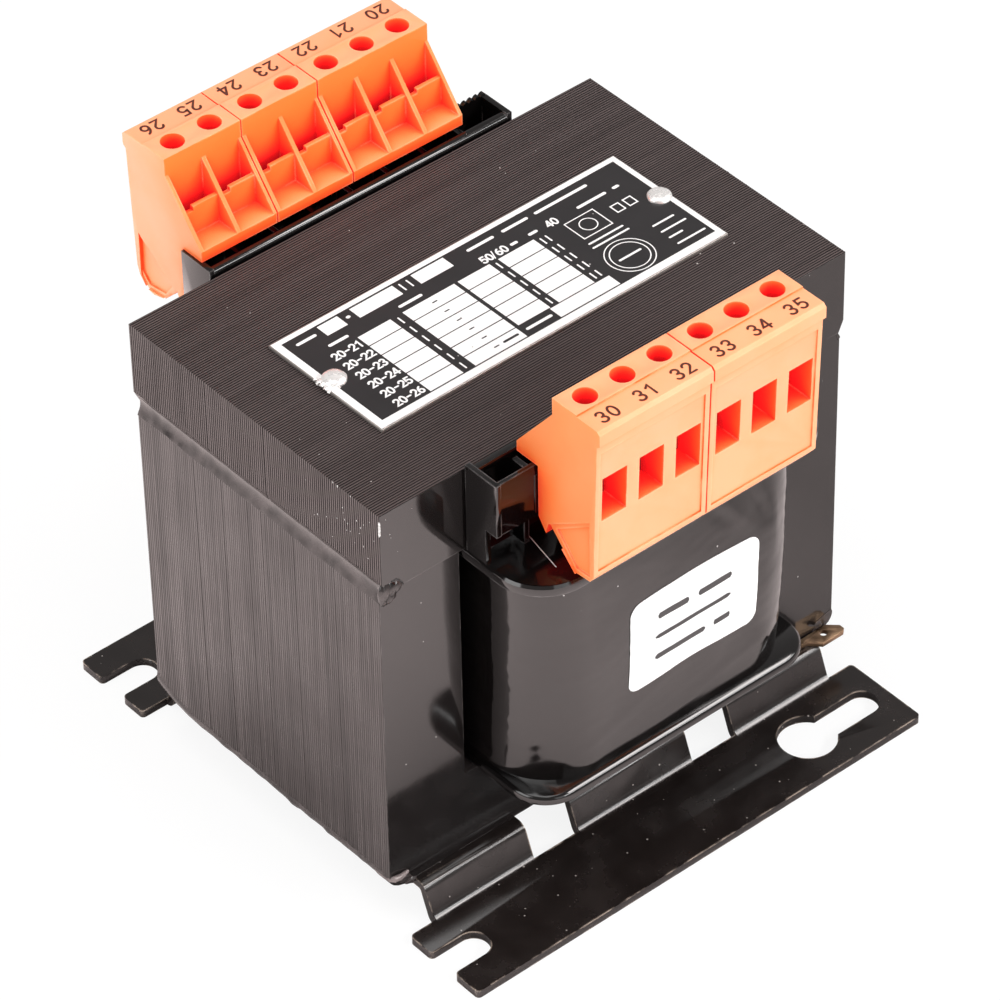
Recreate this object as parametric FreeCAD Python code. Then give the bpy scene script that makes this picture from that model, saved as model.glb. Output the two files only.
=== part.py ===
import FreeCAD
import Part
import math
import os

# Laminated transformer on two sheet metal feet, standing on the plane z = 0.
# X runs along the feet, Y through the lamination stack and Z up. Lengths are millimetres.
# Heights measured from the top of the core are written as offsets and lifted by CORE_TOP.

# Core of E and I sheets
LEG = 16.0
CORE_WIDTH = 6 * LEG
CORE_HEIGHT = 5 * LEG
CORE_BOTTOM = 7.5
CORE_TOP = CORE_BOTTOM + CORE_HEIGHT
E_STACK_DEPTH = 59.8
STACK_HALF = E_STACK_DEPTH / 2
I_STACK_DEPTH = E_STACK_DEPTH + 1.6
JOINT_HEIGHT = CORE_TOP - LEG
WINDOW_FLOOR = CORE_BOTTOM + LEG
GROOVE_DEPTH = 1.0
GROOVE_RISE_ABOVE = 2.7
GROOVE_RISE_BELOW = 3.0
FOOT_CHAMFER_RUN = 5.4
FOOT_CHAMFER_RISE = 4.0
CHAMFER_LEDGE = 0.65

# Weld beads
JOINT_BEAD_BULGE = 0.3
JOINT_BEAD_REACH = 0.5
FOOT_BEAD_LENGTH = 13.0
FOOT_BEAD_BACK = 0.5
FOOT_BEAD_BULGE = 0.9

# Feet
SHEET = 1.5
FOOT_OVERHANG = 0.25
FOOT_HALF_LENGTH = CORE_WIDTH / 2 + FOOT_OVERHANG
NOTCH_RUN = 5.25
JOGGLE_HALF_LENGTH = FOOT_HALF_LENGTH - NOTCH_RUN
FOOT_SHOULDER = STACK_HALF + 2.4
JOGGLE_RUN = 2.3
FOOT_TOE = FOOT_SHOULDER + JOGGLE_RUN
FOOT_INNER = STACK_HALF - 17.9
NOTCH_EDGE = FOOT_TOE + 0.2
BEND_RADIUS = 2.1
FLANGE_CORNER = 0.8
FOOT_WINDOW_HALF = 4.7
FOOT_WINDOW_CENTRE = LEG + 1.2
FOOT_WINDOW_EDGE = FOOT_TOE + 0.1
FOOT_WINDOW_INNER = STACK_HALF - 5.9
SLOT_CENTRE_X = FOOT_HALF_LENGTH - 5.75
SLOT_CENTRE_Y = STACK_HALF + 13.1
SLOT_HALF_WIDTH = 2.85
SLOT_LENGTH = 6.8
FOOT_OUTER = SLOT_CENTRE_Y + 8.6
KEYHOLE_TRAVEL = 11.9
KEYHOLE_CENTRE_X = SLOT_CENTRE_X - KEYHOLE_TRAVEL
KEYHOLE_RADIUS = 5.1

# Bobbin
TUBE_CLEARANCE = 0.3
TUBE_WALL = 1.3
TUBE_CORNER = 1.0
TOP_FLANGE_HALF_X = 2 * LEG - 0.3
TOP_FLANGE_HALF_Y = STACK_HALF + 17.9
TOP_FLANGE_CORNER = 9.2
TOP_FLANGE_TOP = JOINT_HEIGHT - 0.2
LOW_FLANGE_HALF_X = 2 * LEG - 2.2
LOW_FLANGE_HALF_Y = STACK_HALF + 16.0
LOW_FLANGE_CORNER = 7.1
LOW_FLANGE_BOTTOM = WINDOW_FLOOR + 0.3
FLANGE_THICKNESS = 1.6
FLANGE_BITE = 0.5
RAIL_HALF_X = 2 * LEG - 0.6
RAIL_INNER = STACK_HALF + 1.2
RAIL_WALL = 1.9
RAIL_ROUNDING = 0.8
RAIL_WALL_TOP = CORE_TOP + 0.9
RAIL_TOP = CORE_TOP + 1.2
POCKET_OUTER = STACK_HALF + 8.5
POCKET_WALL = 0.8
POCKET_FRAME = 0.15
POCKET_BOTTOM = CORE_TOP - 9.0
POCKET_LEG = POCKET_OUTER - 2.7
POCKETS = 8
DIVIDER = 1.0
DIVIDER_DROP = 2.0
TOOTH_PITCH = 1.25
TOOTH_HEIGHT = 0.45
TOOTH_CREST = 0.35
TOOTH_FLANK = 0.7
TOOTH_LEAN = 0.8
TEETH_LENGTH = 7.6

# Windings inside the wrap
LAYER_GAP = 0.3
SHEET_BUILD = 0.5
PRIMARY_SHARE = 0.506
WRAP_FIT = 0.4
WRAP_WALL = 0.8
WRAP_HALF_X = 2 * LEG - 3.1
WRAP_BULGE = STACK_HALF + 16.4
WRAP_LOW_REACH = STACK_HALF + 14.6
WRAP_BULGE_AT = 0.65
WRAP_SECTIONS = 6
WRAP_CORNER = 12.8
LEAD_MARGIN = 2.0
CORNER_GROWTH = 1.2

# Terminal blocks
PITCH = 7.5
BLOCK_EXTRA = 0.6
BLOCK_GAP = 0.1
FRONT_ROW_START = 8.0 - RAIL_HALF_X
BACK_ROW_START = 0.5 - RAIL_HALF_X
FRONT_BLOCK_NAMES = ("terminal_front_left", "terminal_front_right")
FRONT_POLE_COUNTS = (3, 3)
BACK_BLOCK_NAMES = ("terminal_back_left", "terminal_back_middle", "terminal_back_right")
BACK_POLE_COUNTS = (2, 2, 3)
BLOCK_TOP = CORE_TOP + 16.9
BLOCK_SEAT = RAIL_TOP
BODY_FACE = POCKET_OUTER + 3.8
STRIP_STEP_FACE = BODY_FACE + 5.5
STRIP_STEP = 0.25
LIP_FACE = BODY_FACE + 10.8
LIP_ROUNDING = 0.6
LIP_DEPTH = 2.9
LIP_UNDERCUT = 0.6
FRONT_FACE_TOP = BODY_FACE + 10.1
FRONT_FACE_LOW = BODY_FACE + 9.2
LEDGE_FACE = RAIL_INNER + RAIL_WALL + 0.8
LEDGE_TOP = CORE_TOP + 3.2
RIB_TOP = CORE_TOP + 13.6
LEG_FACE = POCKET_OUTER + 0.3
CROSS_WALL_INNER = POCKET_OUTER
CROSS_WALL_OUTER = POCKET_OUTER + 0.8
CROSS_WALL_TOP = CORE_TOP + 8.5
DEEP_POCKET_FLOOR = CORE_TOP - 3.0
RIB = 0.8
NOTCH_WIDTH = 1.7
NOTCH_DEPTH = 0.8
SCREW_HOLE_FACE = BODY_FACE + 2.9
SCREW_HOLE_RADIUS = 2.0
SCREW_HOLE_SINK = 0.5
WINDOW_WIDTH = 5.0
WINDOW_LOW = CORE_TOP - 2.4
WINDOW_HIGH = CORE_TOP + 6.1
WINDOW_BACK = BODY_FACE + 1.0
CAGE_FRONT = BODY_FACE + 4.4
CAGE_WALL = 0.8
SCREW_HEAD_RADIUS = 1.7
SCREW_HEAD_HEIGHT = 2.2
SCREW_HEAD_SIDES = 16
PANEL_RECESS = 0.25
PANEL_INSET = 0.9
PANEL_TOP = BLOCK_TOP - 5.2

# Skirts below the blocks, measured up from the lowest line of a skirt
SKIRT_BOTTOM = TOP_FLANGE_TOP + 1.1
SKIRT_BACK_FACE = BODY_FACE + 4.8
SKIRT_HEEL = 0.3
SKIRT_CORNER_RUN = 1.2
SKIRT_CORNER_RISE = 1.9
SHORT_SKIRT_RISE = 1.6
SHORT_SKIRT_BACK_FACE = BODY_FACE + 2.2
SHORT_SKIRT_BACK_RISE = 2.5
SHORT_SKIRT_HEEL_FACE = BODY_FACE + 5.2
SHORT_SKIRT_TOE_FACE = BODY_FACE + 7.0
SHORT_SKIRT_TOE_RISE = 0.3
SHORT_SKIRT_CORNER_RUN = 0.5
SHORT_SKIRT_CORNER_RISE = 2.2
SHORT_SKIRT_FRONT_RISE = 3.9
HOOK_FACE = LEG_FACE + 2.2
HOOK_TIP_FACE = LEG_FACE + 1.7
HOOK_DEPTH = 2.2
HOOK_RETURN = 0.2
SKIRT_TOP = CORE_TOP - 2.6
SKIRT_STEP = 0.3
SKIRT_RECESS = 0.7
SKIRT_RIM = 0.9
RIM_SPREAD = 1.9
SKIRT_LAP = 0.1

# Plate, label and earth tab
PLATE_LENGTH = 0.75 * CORE_WIDTH
PLATE_WIDTH = 27.4
PLATE_THICKNESS = 0.6
PLATE_CENTRE = (0.7, -2.0)
RIVET_CENTRES = (
    (PLATE_CENTRE[0] - PLATE_LENGTH / 2 + 2.4, PLATE_CENTRE[1] + 0.3),
    (PLATE_CENTRE[0] + PLATE_LENGTH / 2 - 1.7, PLATE_CENTRE[1] + 1.0),
)
RIVET_HEAD_RADIUS = 2.1
RIVET_CROWN_RADIUS = 1.2
RIVET_HEAD_HEIGHT = 1.0
RIVET_SHANK_RADIUS = 0.9
RIVET_HOLE_RADIUS = 1.2
RIVET_SHANK_DEPTH = 4.0
RIVET_OVERLAP = 0.2
LABEL_X = 2.2
LABEL_RISE = 0.45
LABEL_SIZE = (27.0, 18.6)
LABEL_CORNER = 2.0
LABEL_THICKNESS = 0.15
LABEL_LIFT = 0.05
TAB_THICKNESS = 0.8
TAB_SEAT = (FOOT_HALF_LENGTH, 1.0 - FOOT_SHOULDER)
TAB_HOLE_OFFSET = (-3.45, -0.1)
TAB_HOLE_RADIUS = 0.7
TAB_OUTLINE = (
    (-14.25, 1.2), (-1.85, 1.2), (-0.05, -0.5), (-0.05, -1.5),
    (-0.65, -2.0), (-5.25, -2.0), (-7.15, 0.0), (-14.25, 0.0),
)

# Reach of a cutting tool past the piece that it cuts, and how close counts as the same place
OVERRUN = 1.0
NEAR = 1e-4

X_AXIS = FreeCAD.Vector(1, 0, 0)
Y_AXIS = FreeCAD.Vector(0, 1, 0)
Z_AXIS = FreeCAD.Vector(0, 0, 1)
ORIGIN = FreeCAD.Vector(0, 0, 0)


def box(x_range, y_range, z_range):
    size = [high - low for low, high in (x_range, y_range, z_range)]
    corner = FreeCAD.Vector(x_range[0], y_range[0], z_range[0])
    return Part.makeBox(size[0], size[1], size[2], corner)


def prism_along_x(outline, x_range):
    corners = [FreeCAD.Vector(x_range[0], y, z) for y, z in outline]
    face = Part.Face(Part.makePolygon(corners + corners[:1]))
    return face.extrude(X_AXIS * (x_range[1] - x_range[0]))


def prism_along_y(outline, y_range):
    corners = [FreeCAD.Vector(x, y_range[0], z) for x, z in outline]
    face = Part.Face(Part.makePolygon(corners + corners[:1]))
    return face.extrude(Y_AXIS * (y_range[1] - y_range[0]))


def prism_along_z(outline, z_range):
    corners = [FreeCAD.Vector(x, y, z_range[0]) for x, y in outline]
    face = Part.Face(Part.makePolygon(corners + corners[:1]))
    return face.extrude(Z_AXIS * (z_range[1] - z_range[0]))


def edges_along(shape, direction, accept):
    chosen = []
    for edge in shape.Edges:
        if len(edge.Vertexes) != 2:
            continue
        run = edge.Vertexes[1].Point.sub(edge.Vertexes[0].Point)
        if run.cross(direction).Length > NEAR * run.Length:
            continue
        if accept(edge.CenterOfMass):
            chosen.append(edge)
    return chosen


def rounded_slab(half_x, half_y, corner, z_range):
    slab = box((-half_x, half_x), (-half_y, half_y), z_range)
    return slab.makeFillet(corner, edges_along(slab, Z_AXIS, lambda centre: True))


def rounded_outline(half_x, half_y, corner, height):
    section = rounded_slab(half_x, half_y, corner, (height, height + OVERRUN))
    lowest = min(section.Faces, key=lambda face: face.CenterOfMass.z)
    return lowest.OuterWire


def mirrored(shape, axis):
    return shape.mirror(ORIGIN, axis)


def both_sides(shape, axis):
    return [shape, mirrored(shape, axis)]


# Sheets of the core: the E stack stands on the feet and the I stack closes it from above

def core_e_stack():
    half = CORE_WIDTH / 2
    toe_x = half - FOOT_CHAMFER_RUN
    chamfer_z = CORE_BOTTOM + FOOT_CHAMFER_RISE
    right = [
        (toe_x, CORE_BOTTOM),
        (half - CHAMFER_LEDGE, chamfer_z),
        (half, chamfer_z),
        (half, JOINT_HEIGHT - GROOVE_RISE_BELOW),
        (half - GROOVE_DEPTH, JOINT_HEIGHT),
    ]
    outline = right + [(-x, z) for x, z in reversed(right)]
    depth = (-STACK_HALF, STACK_HALF)
    stack = prism_along_y(outline, depth)
    window = box((LEG, 2 * LEG), depth, (WINDOW_FLOOR, JOINT_HEIGHT))
    for opening in both_sides(window, X_AXIS):
        stack = stack.cut(opening)
    return stack


def core_i_stack():
    half = CORE_WIDTH / 2
    right = [
        (half - GROOVE_DEPTH, JOINT_HEIGHT),
        (half, JOINT_HEIGHT + GROOVE_RISE_ABOVE),
        (half, CORE_TOP),
    ]
    outline = right + [(-x, z) for x, z in reversed(right)]
    stack = prism_along_y(outline, (-I_STACK_DEPTH / 2, I_STACK_DEPTH / 2))
    for x, y in RIVET_CENTRES:
        start = FreeCAD.Vector(x, y, CORE_TOP - RIVET_SHANK_DEPTH)
        stack = stack.cut(Part.makeCylinder(RIVET_HOLE_RADIUS, RIVET_SHANK_DEPTH, start))
    return stack


def joint_weld():
    bottom = (CORE_WIDTH / 2 - GROOVE_DEPTH, JOINT_HEIGHT)
    mouth = CORE_WIDTH / 2 - GROOVE_DEPTH * (1 - JOINT_BEAD_REACH)
    low = FreeCAD.Vector(mouth, 0, JOINT_HEIGHT - GROOVE_RISE_BELOW * JOINT_BEAD_REACH)
    high = FreeCAD.Vector(mouth, 0, JOINT_HEIGHT + GROOVE_RISE_ABOVE * JOINT_BEAD_REACH)
    crown = FreeCAD.Vector(mouth + JOINT_BEAD_BULGE, 0, JOINT_HEIGHT)
    root = FreeCAD.Vector(bottom[0], 0, bottom[1])
    edges = [
        Part.makeLine(root, low),
        Part.Arc(low, crown, high).toShape(),
        Part.makeLine(high, root),
    ]
    bead = Part.Face(Part.Wire(edges)).extrude(Y_AXIS * E_STACK_DEPTH)
    return bead.translated(Y_AXIS * -STACK_HALF)


def foot_weld():
    toe_x = CORE_WIDTH / 2 - FOOT_CHAMFER_RUN
    slope = (FOOT_CHAMFER_RUN - CHAMFER_LEDGE) / FOOT_CHAMFER_RISE
    rise = FOOT_CHAMFER_RISE * FOOT_BEAD_BACK
    root = FreeCAD.Vector(toe_x, 0, CORE_BOTTOM)
    high = FreeCAD.Vector(toe_x + rise * slope, 0, CORE_BOTTOM + rise)
    low = FreeCAD.Vector(JOGGLE_HALF_LENGTH, 0, CORE_BOTTOM)
    middle = (high + low) * 0.5 + FreeCAD.Vector(FOOT_BEAD_BULGE, 0, -FOOT_BEAD_BULGE / 2)
    edges = [Part.makeLine(root, low), Part.Arc(low, middle, high).toShape(), Part.makeLine(high, root)]
    bead = Part.Face(Part.Wire(edges)).extrude(Y_AXIS * FOOT_BEAD_LENGTH)
    return bead.translated(Y_AXIS * -STACK_HALF)


# Feet: one bent sheet each, drawn as the front foot and mirrored for the back one

def slot_cutter(x_range, half_width):
    return box(
        x_range,
        (-SLOT_CENTRE_Y - half_width, -SLOT_CENTRE_Y + half_width),
        (-OVERRUN, CORE_BOTTOM),
    )


def round_cutter(x, radius):
    start = FreeCAD.Vector(x, -SLOT_CENTRE_Y, -OVERRUN)
    return Part.makeCylinder(radius, OVERRUN + CORE_BOTTOM, start)


def front_foot():
    drop = CORE_BOTTOM - SHEET
    run = FOOT_TOE - FOOT_SHOULDER
    tilt = math.atan2(drop, run)
    shift = SHEET * math.tan(tilt / 2)
    outline = [
        (-FOOT_INNER, CORE_BOTTOM),
        (-FOOT_SHOULDER, CORE_BOTTOM),
        (-FOOT_TOE, SHEET),
        (-FOOT_OUTER, SHEET),
        (-FOOT_OUTER, 0.0),
        (-FOOT_TOE + shift, 0.0),
        (-FOOT_SHOULDER + shift, CORE_BOTTOM - SHEET),
        (-FOOT_INNER, CORE_BOTTOM - SHEET),
    ]
    foot = prism_along_x(outline, (-FOOT_HALF_LENGTH, FOOT_HALF_LENGTH))
    outer_bends = (outline[1], outline[5])
    inner_bends = (outline[2], outline[6])
    for bends, radius in ((outer_bends, BEND_RADIUS), (inner_bends, BEND_RADIUS - SHEET)):
        for y, z in bends:
            bend = edges_along(foot, X_AXIS, lambda c: abs(c.y - y) < NEAR and abs(c.z - z) < NEAR)
            foot = foot.makeFillet(radius, bend)
    through = (-OVERRUN, CORE_BOTTOM + OVERRUN)
    side = (JOGGLE_HALF_LENGTH, FOOT_HALF_LENGTH + OVERRUN)
    relief = box(side, (-NOTCH_EDGE, 0.0), through)
    opening = box(
        (FOOT_WINDOW_CENTRE - FOOT_WINDOW_HALF, FOOT_WINDOW_CENTRE + FOOT_WINDOW_HALF),
        (-FOOT_WINDOW_EDGE, -FOOT_WINDOW_INNER),
        through,
    )
    for cutter in both_sides(relief, X_AXIS) + both_sides(opening, X_AXIS):
        foot = foot.cut(cutter)
    arc_offset = SLOT_LENGTH / 2 - SLOT_HALF_WIDTH
    open_end = -SLOT_CENTRE_X + arc_offset
    far_end = SLOT_CENTRE_X + arc_offset
    cutters = [
        slot_cutter((-FOOT_HALF_LENGTH - OVERRUN, open_end), SLOT_HALF_WIDTH),
        round_cutter(open_end, SLOT_HALF_WIDTH),
        slot_cutter((KEYHOLE_CENTRE_X, far_end), SLOT_HALF_WIDTH),
        round_cutter(far_end, SLOT_HALF_WIDTH),
        round_cutter(KEYHOLE_CENTRE_X, KEYHOLE_RADIUS),
    ]
    for cutter in cutters:
        foot = foot.cut(cutter)
    outer = FOOT_HALF_LENGTH - NEAR
    corners = edges_along(foot, Z_AXIS, lambda c: abs(c.x) > outer and c.y < NEAR - NOTCH_EDGE)
    return foot.makeFillet(FLANGE_CORNER, corners)


# Bobbin: one moulding with tube, two flanges and a row of terminal pockets on each side

def tube_half_sizes():
    half_x = LEG + TUBE_CLEARANCE
    half_y = STACK_HALF + TUBE_CLEARANCE
    return half_x, half_y


def serrated_outline(x_range, low, high):
    outline = [(x_range[0], low), (x_range[1], low)]
    count = int((x_range[1] - x_range[0]) / TOOTH_PITCH)
    for tooth in range(count):
        right = x_range[1] - tooth * TOOTH_PITCH
        outline.append((right, high))
        outline.append((right - TOOTH_PITCH * TOOTH_CREST, high + TOOTH_HEIGHT))
        outline.append((right - TOOTH_PITCH * TOOTH_FLANK, high + TOOTH_HEIGHT * TOOTH_LEAN))
    outline.append((x_range[0], high))
    return outline


def pocket_row(free_pocket_side):
    flange_top = TOP_FLANGE_TOP - FLANGE_BITE
    inner_wall = box(
        (-RAIL_HALF_X, RAIL_HALF_X), (-RAIL_INNER - RAIL_WALL, -RAIL_INNER), (flange_top, RAIL_WALL_TOP)
    )
    top_edges = edges_along(inner_wall, X_AXIS, lambda c: c.z > RAIL_WALL_TOP - NEAR)
    inner_wall = inner_wall.makeFillet(RAIL_ROUNDING, top_edges)
    outer_face = POCKET_FRAME - POCKET_OUTER
    outer_wall = box(
        (-RAIL_HALF_X, RAIL_HALF_X), (outer_face, outer_face + POCKET_WALL), (POCKET_BOTTOM, RAIL_TOP)
    )
    pieces = [outer_wall]
    start = -RAIL_HALF_X
    bay = (2 * RAIL_HALF_X - DIVIDER) / POCKETS
    for index in range(POCKETS + 1):
        left = start + index * bay
        end_bay = index in (0, POCKETS)
        across = (-POCKET_OUTER, -RAIL_INNER)
        bottom = POCKET_BOTTOM
        top = RAIL_TOP if end_bay else RAIL_TOP - DIVIDER_DROP
        pieces.append(box((left, left + DIVIDER), across, (bottom, top)))
        prop = box((left, left + DIVIDER), (-POCKET_LEG, -RAIL_INNER), (flange_top, POCKET_BOTTOM))
        pieces.append(prop)
    row = inner_wall.multiFuse(pieces)
    if free_pocket_side > 0:
        teeth = prism_along_y(
            serrated_outline((RAIL_HALF_X - TEETH_LENGTH, RAIL_HALF_X), RAIL_TOP - TOOTH_PITCH, RAIL_TOP),
            (outer_face, outer_face + POCKET_WALL),
        )
        row = row.fuse(teeth)
    return row


def bobbin():
    inner_x, inner_y = tube_half_sizes()
    low_flange = rounded_slab(
        LOW_FLANGE_HALF_X,
        LOW_FLANGE_HALF_Y,
        LOW_FLANGE_CORNER,
        (LOW_FLANGE_BOTTOM, LOW_FLANGE_BOTTOM + FLANGE_THICKNESS),
    )
    top_flange = rounded_slab(
        TOP_FLANGE_HALF_X,
        TOP_FLANGE_HALF_Y,
        TOP_FLANGE_CORNER,
        (TOP_FLANGE_TOP - FLANGE_THICKNESS, TOP_FLANGE_TOP),
    )
    tube = rounded_slab(
        inner_x + TUBE_WALL, inner_y + TUBE_WALL, TUBE_CORNER, (LOW_FLANGE_BOTTOM, TOP_FLANGE_TOP)
    )
    front_row = pocket_row(-1)
    back_row = mirrored(pocket_row(1), Y_AXIS)
    body = low_flange.multiFuse([top_flange, tube, front_row, back_row])
    through = (LOW_FLANGE_BOTTOM - OVERRUN, TOP_FLANGE_TOP + OVERRUN)
    bore = box((-inner_x, inner_x), (-inner_y, inner_y), through)
    body = body.cut(bore)
    return body.removeSplitter()


# Windings: nested rings between the flanges, with the taped wrap outside

def ring(inner, outer, z_range):
    outside = rounded_slab(outer[0], outer[1], outer[2], z_range)
    inside = rounded_slab(inner[0], inner[1], inner[2], (z_range[0] - OVERRUN, z_range[1] + OVERRUN))
    return outside.cut(inside)


def coil_span():
    return LOW_FLANGE_BOTTOM + FLANGE_THICKNESS, TOP_FLANGE_TOP - FLANGE_THICKNESS


def winding_layers():
    inner_x, inner_y = tube_half_sizes()
    low, high = coil_span()
    room_x = WRAP_HALF_X - WRAP_WALL - inner_x - TUBE_WALL
    spread = (WRAP_LOW_REACH - inner_y - TUBE_WALL) / (WRAP_HALF_X - inner_x - TUBE_WALL)
    wire_build = room_x - WRAP_FIT - 3 * LAYER_GAP - SHEET_BUILD
    primary_build = wire_build * PRIMARY_SHARE
    size_x = inner_x + TUBE_WALL + LAYER_GAP
    size_y = inner_y + TUBE_WALL + LAYER_GAP
    corner = TUBE_CORNER
    layers = []
    for build, margin in (
        (primary_build, LEAD_MARGIN),
        (SHEET_BUILD, LAYER_GAP),
        (wire_build - primary_build, LEAD_MARGIN),
    ):
        grown = (size_x + build, size_y + build * spread, corner + build * CORNER_GROWTH)
        layers.append(ring((size_x, size_y, corner), grown, (low + margin, high - margin)))
        size_x, size_y, corner = grown[0] + LAYER_GAP, grown[1] + LAYER_GAP, grown[2]
    return layers


def outer_wrap():
    low, high = coil_span()
    sag = (WRAP_BULGE - WRAP_LOW_REACH) / WRAP_BULGE_AT ** 2
    outlines = []
    for section in range(WRAP_SECTIONS):
        part_way = section / (WRAP_SECTIONS - 1)
        reach = WRAP_BULGE - sag * (part_way - WRAP_BULGE_AT) ** 2
        height = low + (high - low) * part_way
        outlines.append(rounded_outline(WRAP_HALF_X, reach, WRAP_CORNER, height))
    outside = Part.makeLoft(outlines, True, True)
    inside = rounded_slab(
        WRAP_HALF_X - WRAP_WALL,
        WRAP_LOW_REACH - WRAP_WALL,
        WRAP_CORNER - WRAP_WALL,
        (low - OVERRUN, high + OVERRUN),
    )
    return outside.cut(inside)


def test_label():
    half_x, half_z = LABEL_SIZE[0] / 2, LABEL_SIZE[1] / 2
    x, z = LABEL_X, sum(coil_span()) / 2 + LABEL_RISE
    back = WRAP_BULGE + LABEL_LIFT
    face = back + LABEL_THICKNESS
    label = box((x - half_x, x + half_x), (-face, -back), (z - half_z, z + half_z))
    return label.makeFillet(LABEL_CORNER, edges_along(label, Y_AXIS, lambda centre: True))


# Terminal blocks, drawn for the front side with the core behind them

def block_outline(rounded_skirt):
    full_skirt = [
        (-FRONT_FACE_LOW, SKIRT_BOTTOM + SKIRT_CORNER_RISE),
        (SKIRT_CORNER_RUN - FRONT_FACE_LOW, SKIRT_BOTTOM + SKIRT_HEEL),
        (-SKIRT_BACK_FACE, SKIRT_BOTTOM),
    ]
    short_bottom = SKIRT_BOTTOM + SHORT_SKIRT_RISE
    short_skirt = [
        (-FRONT_FACE_LOW, short_bottom + SHORT_SKIRT_FRONT_RISE),
        (SHORT_SKIRT_CORNER_RUN - FRONT_FACE_LOW, short_bottom + SHORT_SKIRT_CORNER_RISE),
        (-SHORT_SKIRT_TOE_FACE, short_bottom + SHORT_SKIRT_TOE_RISE),
        (-SHORT_SKIRT_HEEL_FACE, short_bottom),
        (-SHORT_SKIRT_BACK_FACE, SKIRT_BOTTOM + SHORT_SKIRT_BACK_RISE),
    ]
    strip = BLOCK_TOP - STRIP_STEP
    return [
        (-BODY_FACE, BLOCK_TOP),
        (-STRIP_STEP_FACE, BLOCK_TOP),
        (-STRIP_STEP_FACE, strip),
        (LIP_ROUNDING - LIP_FACE, strip),
        (-LIP_FACE, strip - LIP_ROUNDING),
        (-LIP_FACE, BLOCK_TOP - LIP_DEPTH),
        (-FRONT_FACE_TOP, BLOCK_TOP - LIP_DEPTH - LIP_UNDERCUT),
        *(short_skirt if rounded_skirt else full_skirt),
        (-HOOK_FACE, POCKET_BOTTOM),
        (-HOOK_TIP_FACE, POCKET_BOTTOM - HOOK_DEPTH),
        (-LEG_FACE, POCKET_BOTTOM + HOOK_RETURN),
        (-LEG_FACE, BLOCK_SEAT),
        (-LEDGE_FACE, BLOCK_SEAT),
        (-LEDGE_FACE, LEDGE_TOP),
        (-BODY_FACE, RIB_TOP),
    ]


def skirt_outline(rounded_skirt, rim):
    outer = SKIRT_RIM - FRONT_FACE_LOW
    full_skirt = [
        (outer, SKIRT_BOTTOM + SKIRT_HEEL + rim - SKIRT_LAP),
        (-SKIRT_BACK_FACE - SKIRT_LAP, SKIRT_BOTTOM + rim),
    ]
    short_bottom = SKIRT_BOTTOM + SHORT_SKIRT_RISE
    back_rise = SHORT_SKIRT_BACK_RISE - SKIRT_LAP
    short_skirt = [
        (outer, short_bottom + SHORT_SKIRT_CORNER_RISE + rim),
        (rim / 2 - SHORT_SKIRT_TOE_FACE, short_bottom + SHORT_SKIRT_TOE_RISE + rim - SKIRT_LAP),
        (-SHORT_SKIRT_BACK_FACE - 2 * SKIRT_LAP, SKIRT_BOTTOM + back_rise + rim),
    ]
    return [
        (-HOOK_FACE - RIM_SPREAD * rim, POCKET_BOTTOM - SKIRT_LAP),
        (outer, SKIRT_TOP - rim),
        *(short_skirt if rounded_skirt else full_skirt),
    ]


def pole_centre(start, index):
    return start + BLOCK_EXTRA / 2 + PITCH * (index + 0.5)


def pole_cutters(centre):
    bay = (centre - PITCH / 2 + RIB / 2, centre + PITCH / 2 - RIB / 2)
    notch = (bay[0], bay[0] + NOTCH_WIDTH)
    entry = (centre - WINDOW_WIDTH / 2, centre + WINDOW_WIDTH / 2)
    over = BLOCK_TOP + OVERRUN
    inside = OVERRUN - LEDGE_FACE
    hole_start = FreeCAD.Vector(centre, -SCREW_HOLE_FACE, WINDOW_HIGH - SCREW_HOLE_SINK)
    return [
        box(bay, (-BODY_FACE, inside), (CROSS_WALL_TOP, over)),
        box(bay, (-BODY_FACE, -CROSS_WALL_OUTER), (DEEP_POCKET_FLOOR, over)),
        box(bay, (-CROSS_WALL_INNER, inside), (LEDGE_TOP, over)),
        box(notch, (-BODY_FACE, -CROSS_WALL_INNER), (CROSS_WALL_TOP - NOTCH_DEPTH, over)),
        box(entry, (-LIP_FACE - OVERRUN, -WINDOW_BACK), (WINDOW_LOW, WINDOW_HIGH)),
        Part.makeCylinder(SCREW_HOLE_RADIUS, over - hole_start.z, hole_start),
    ]


def face_panel(x_range, rounded_skirt):
    face_high = BLOCK_TOP - LIP_DEPTH - LIP_UNDERCUT
    face_low = SKIRT_BOTTOM + SKIRT_CORNER_RISE
    lean = (FRONT_FACE_TOP - FRONT_FACE_LOW) / (face_high - face_low)
    front_rise = SHORT_SKIRT_RISE + SHORT_SKIRT_FRONT_RISE if rounded_skirt else SKIRT_CORNER_RISE
    low = SKIRT_BOTTOM + front_rise + PANEL_INSET
    at_high = FRONT_FACE_TOP - lean * (face_high - PANEL_TOP)
    at_low = FRONT_FACE_LOW + lean * (low - face_low)
    outline = [
        (PANEL_RECESS - at_high, PANEL_TOP),
        (PANEL_RECESS - at_low, low),
        (-at_low - OVERRUN, low),
        (-at_high - OVERRUN, PANEL_TOP),
    ]
    return prism_along_x(outline, (x_range[0] + PANEL_INSET, x_range[1] - PANEL_INSET))


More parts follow.
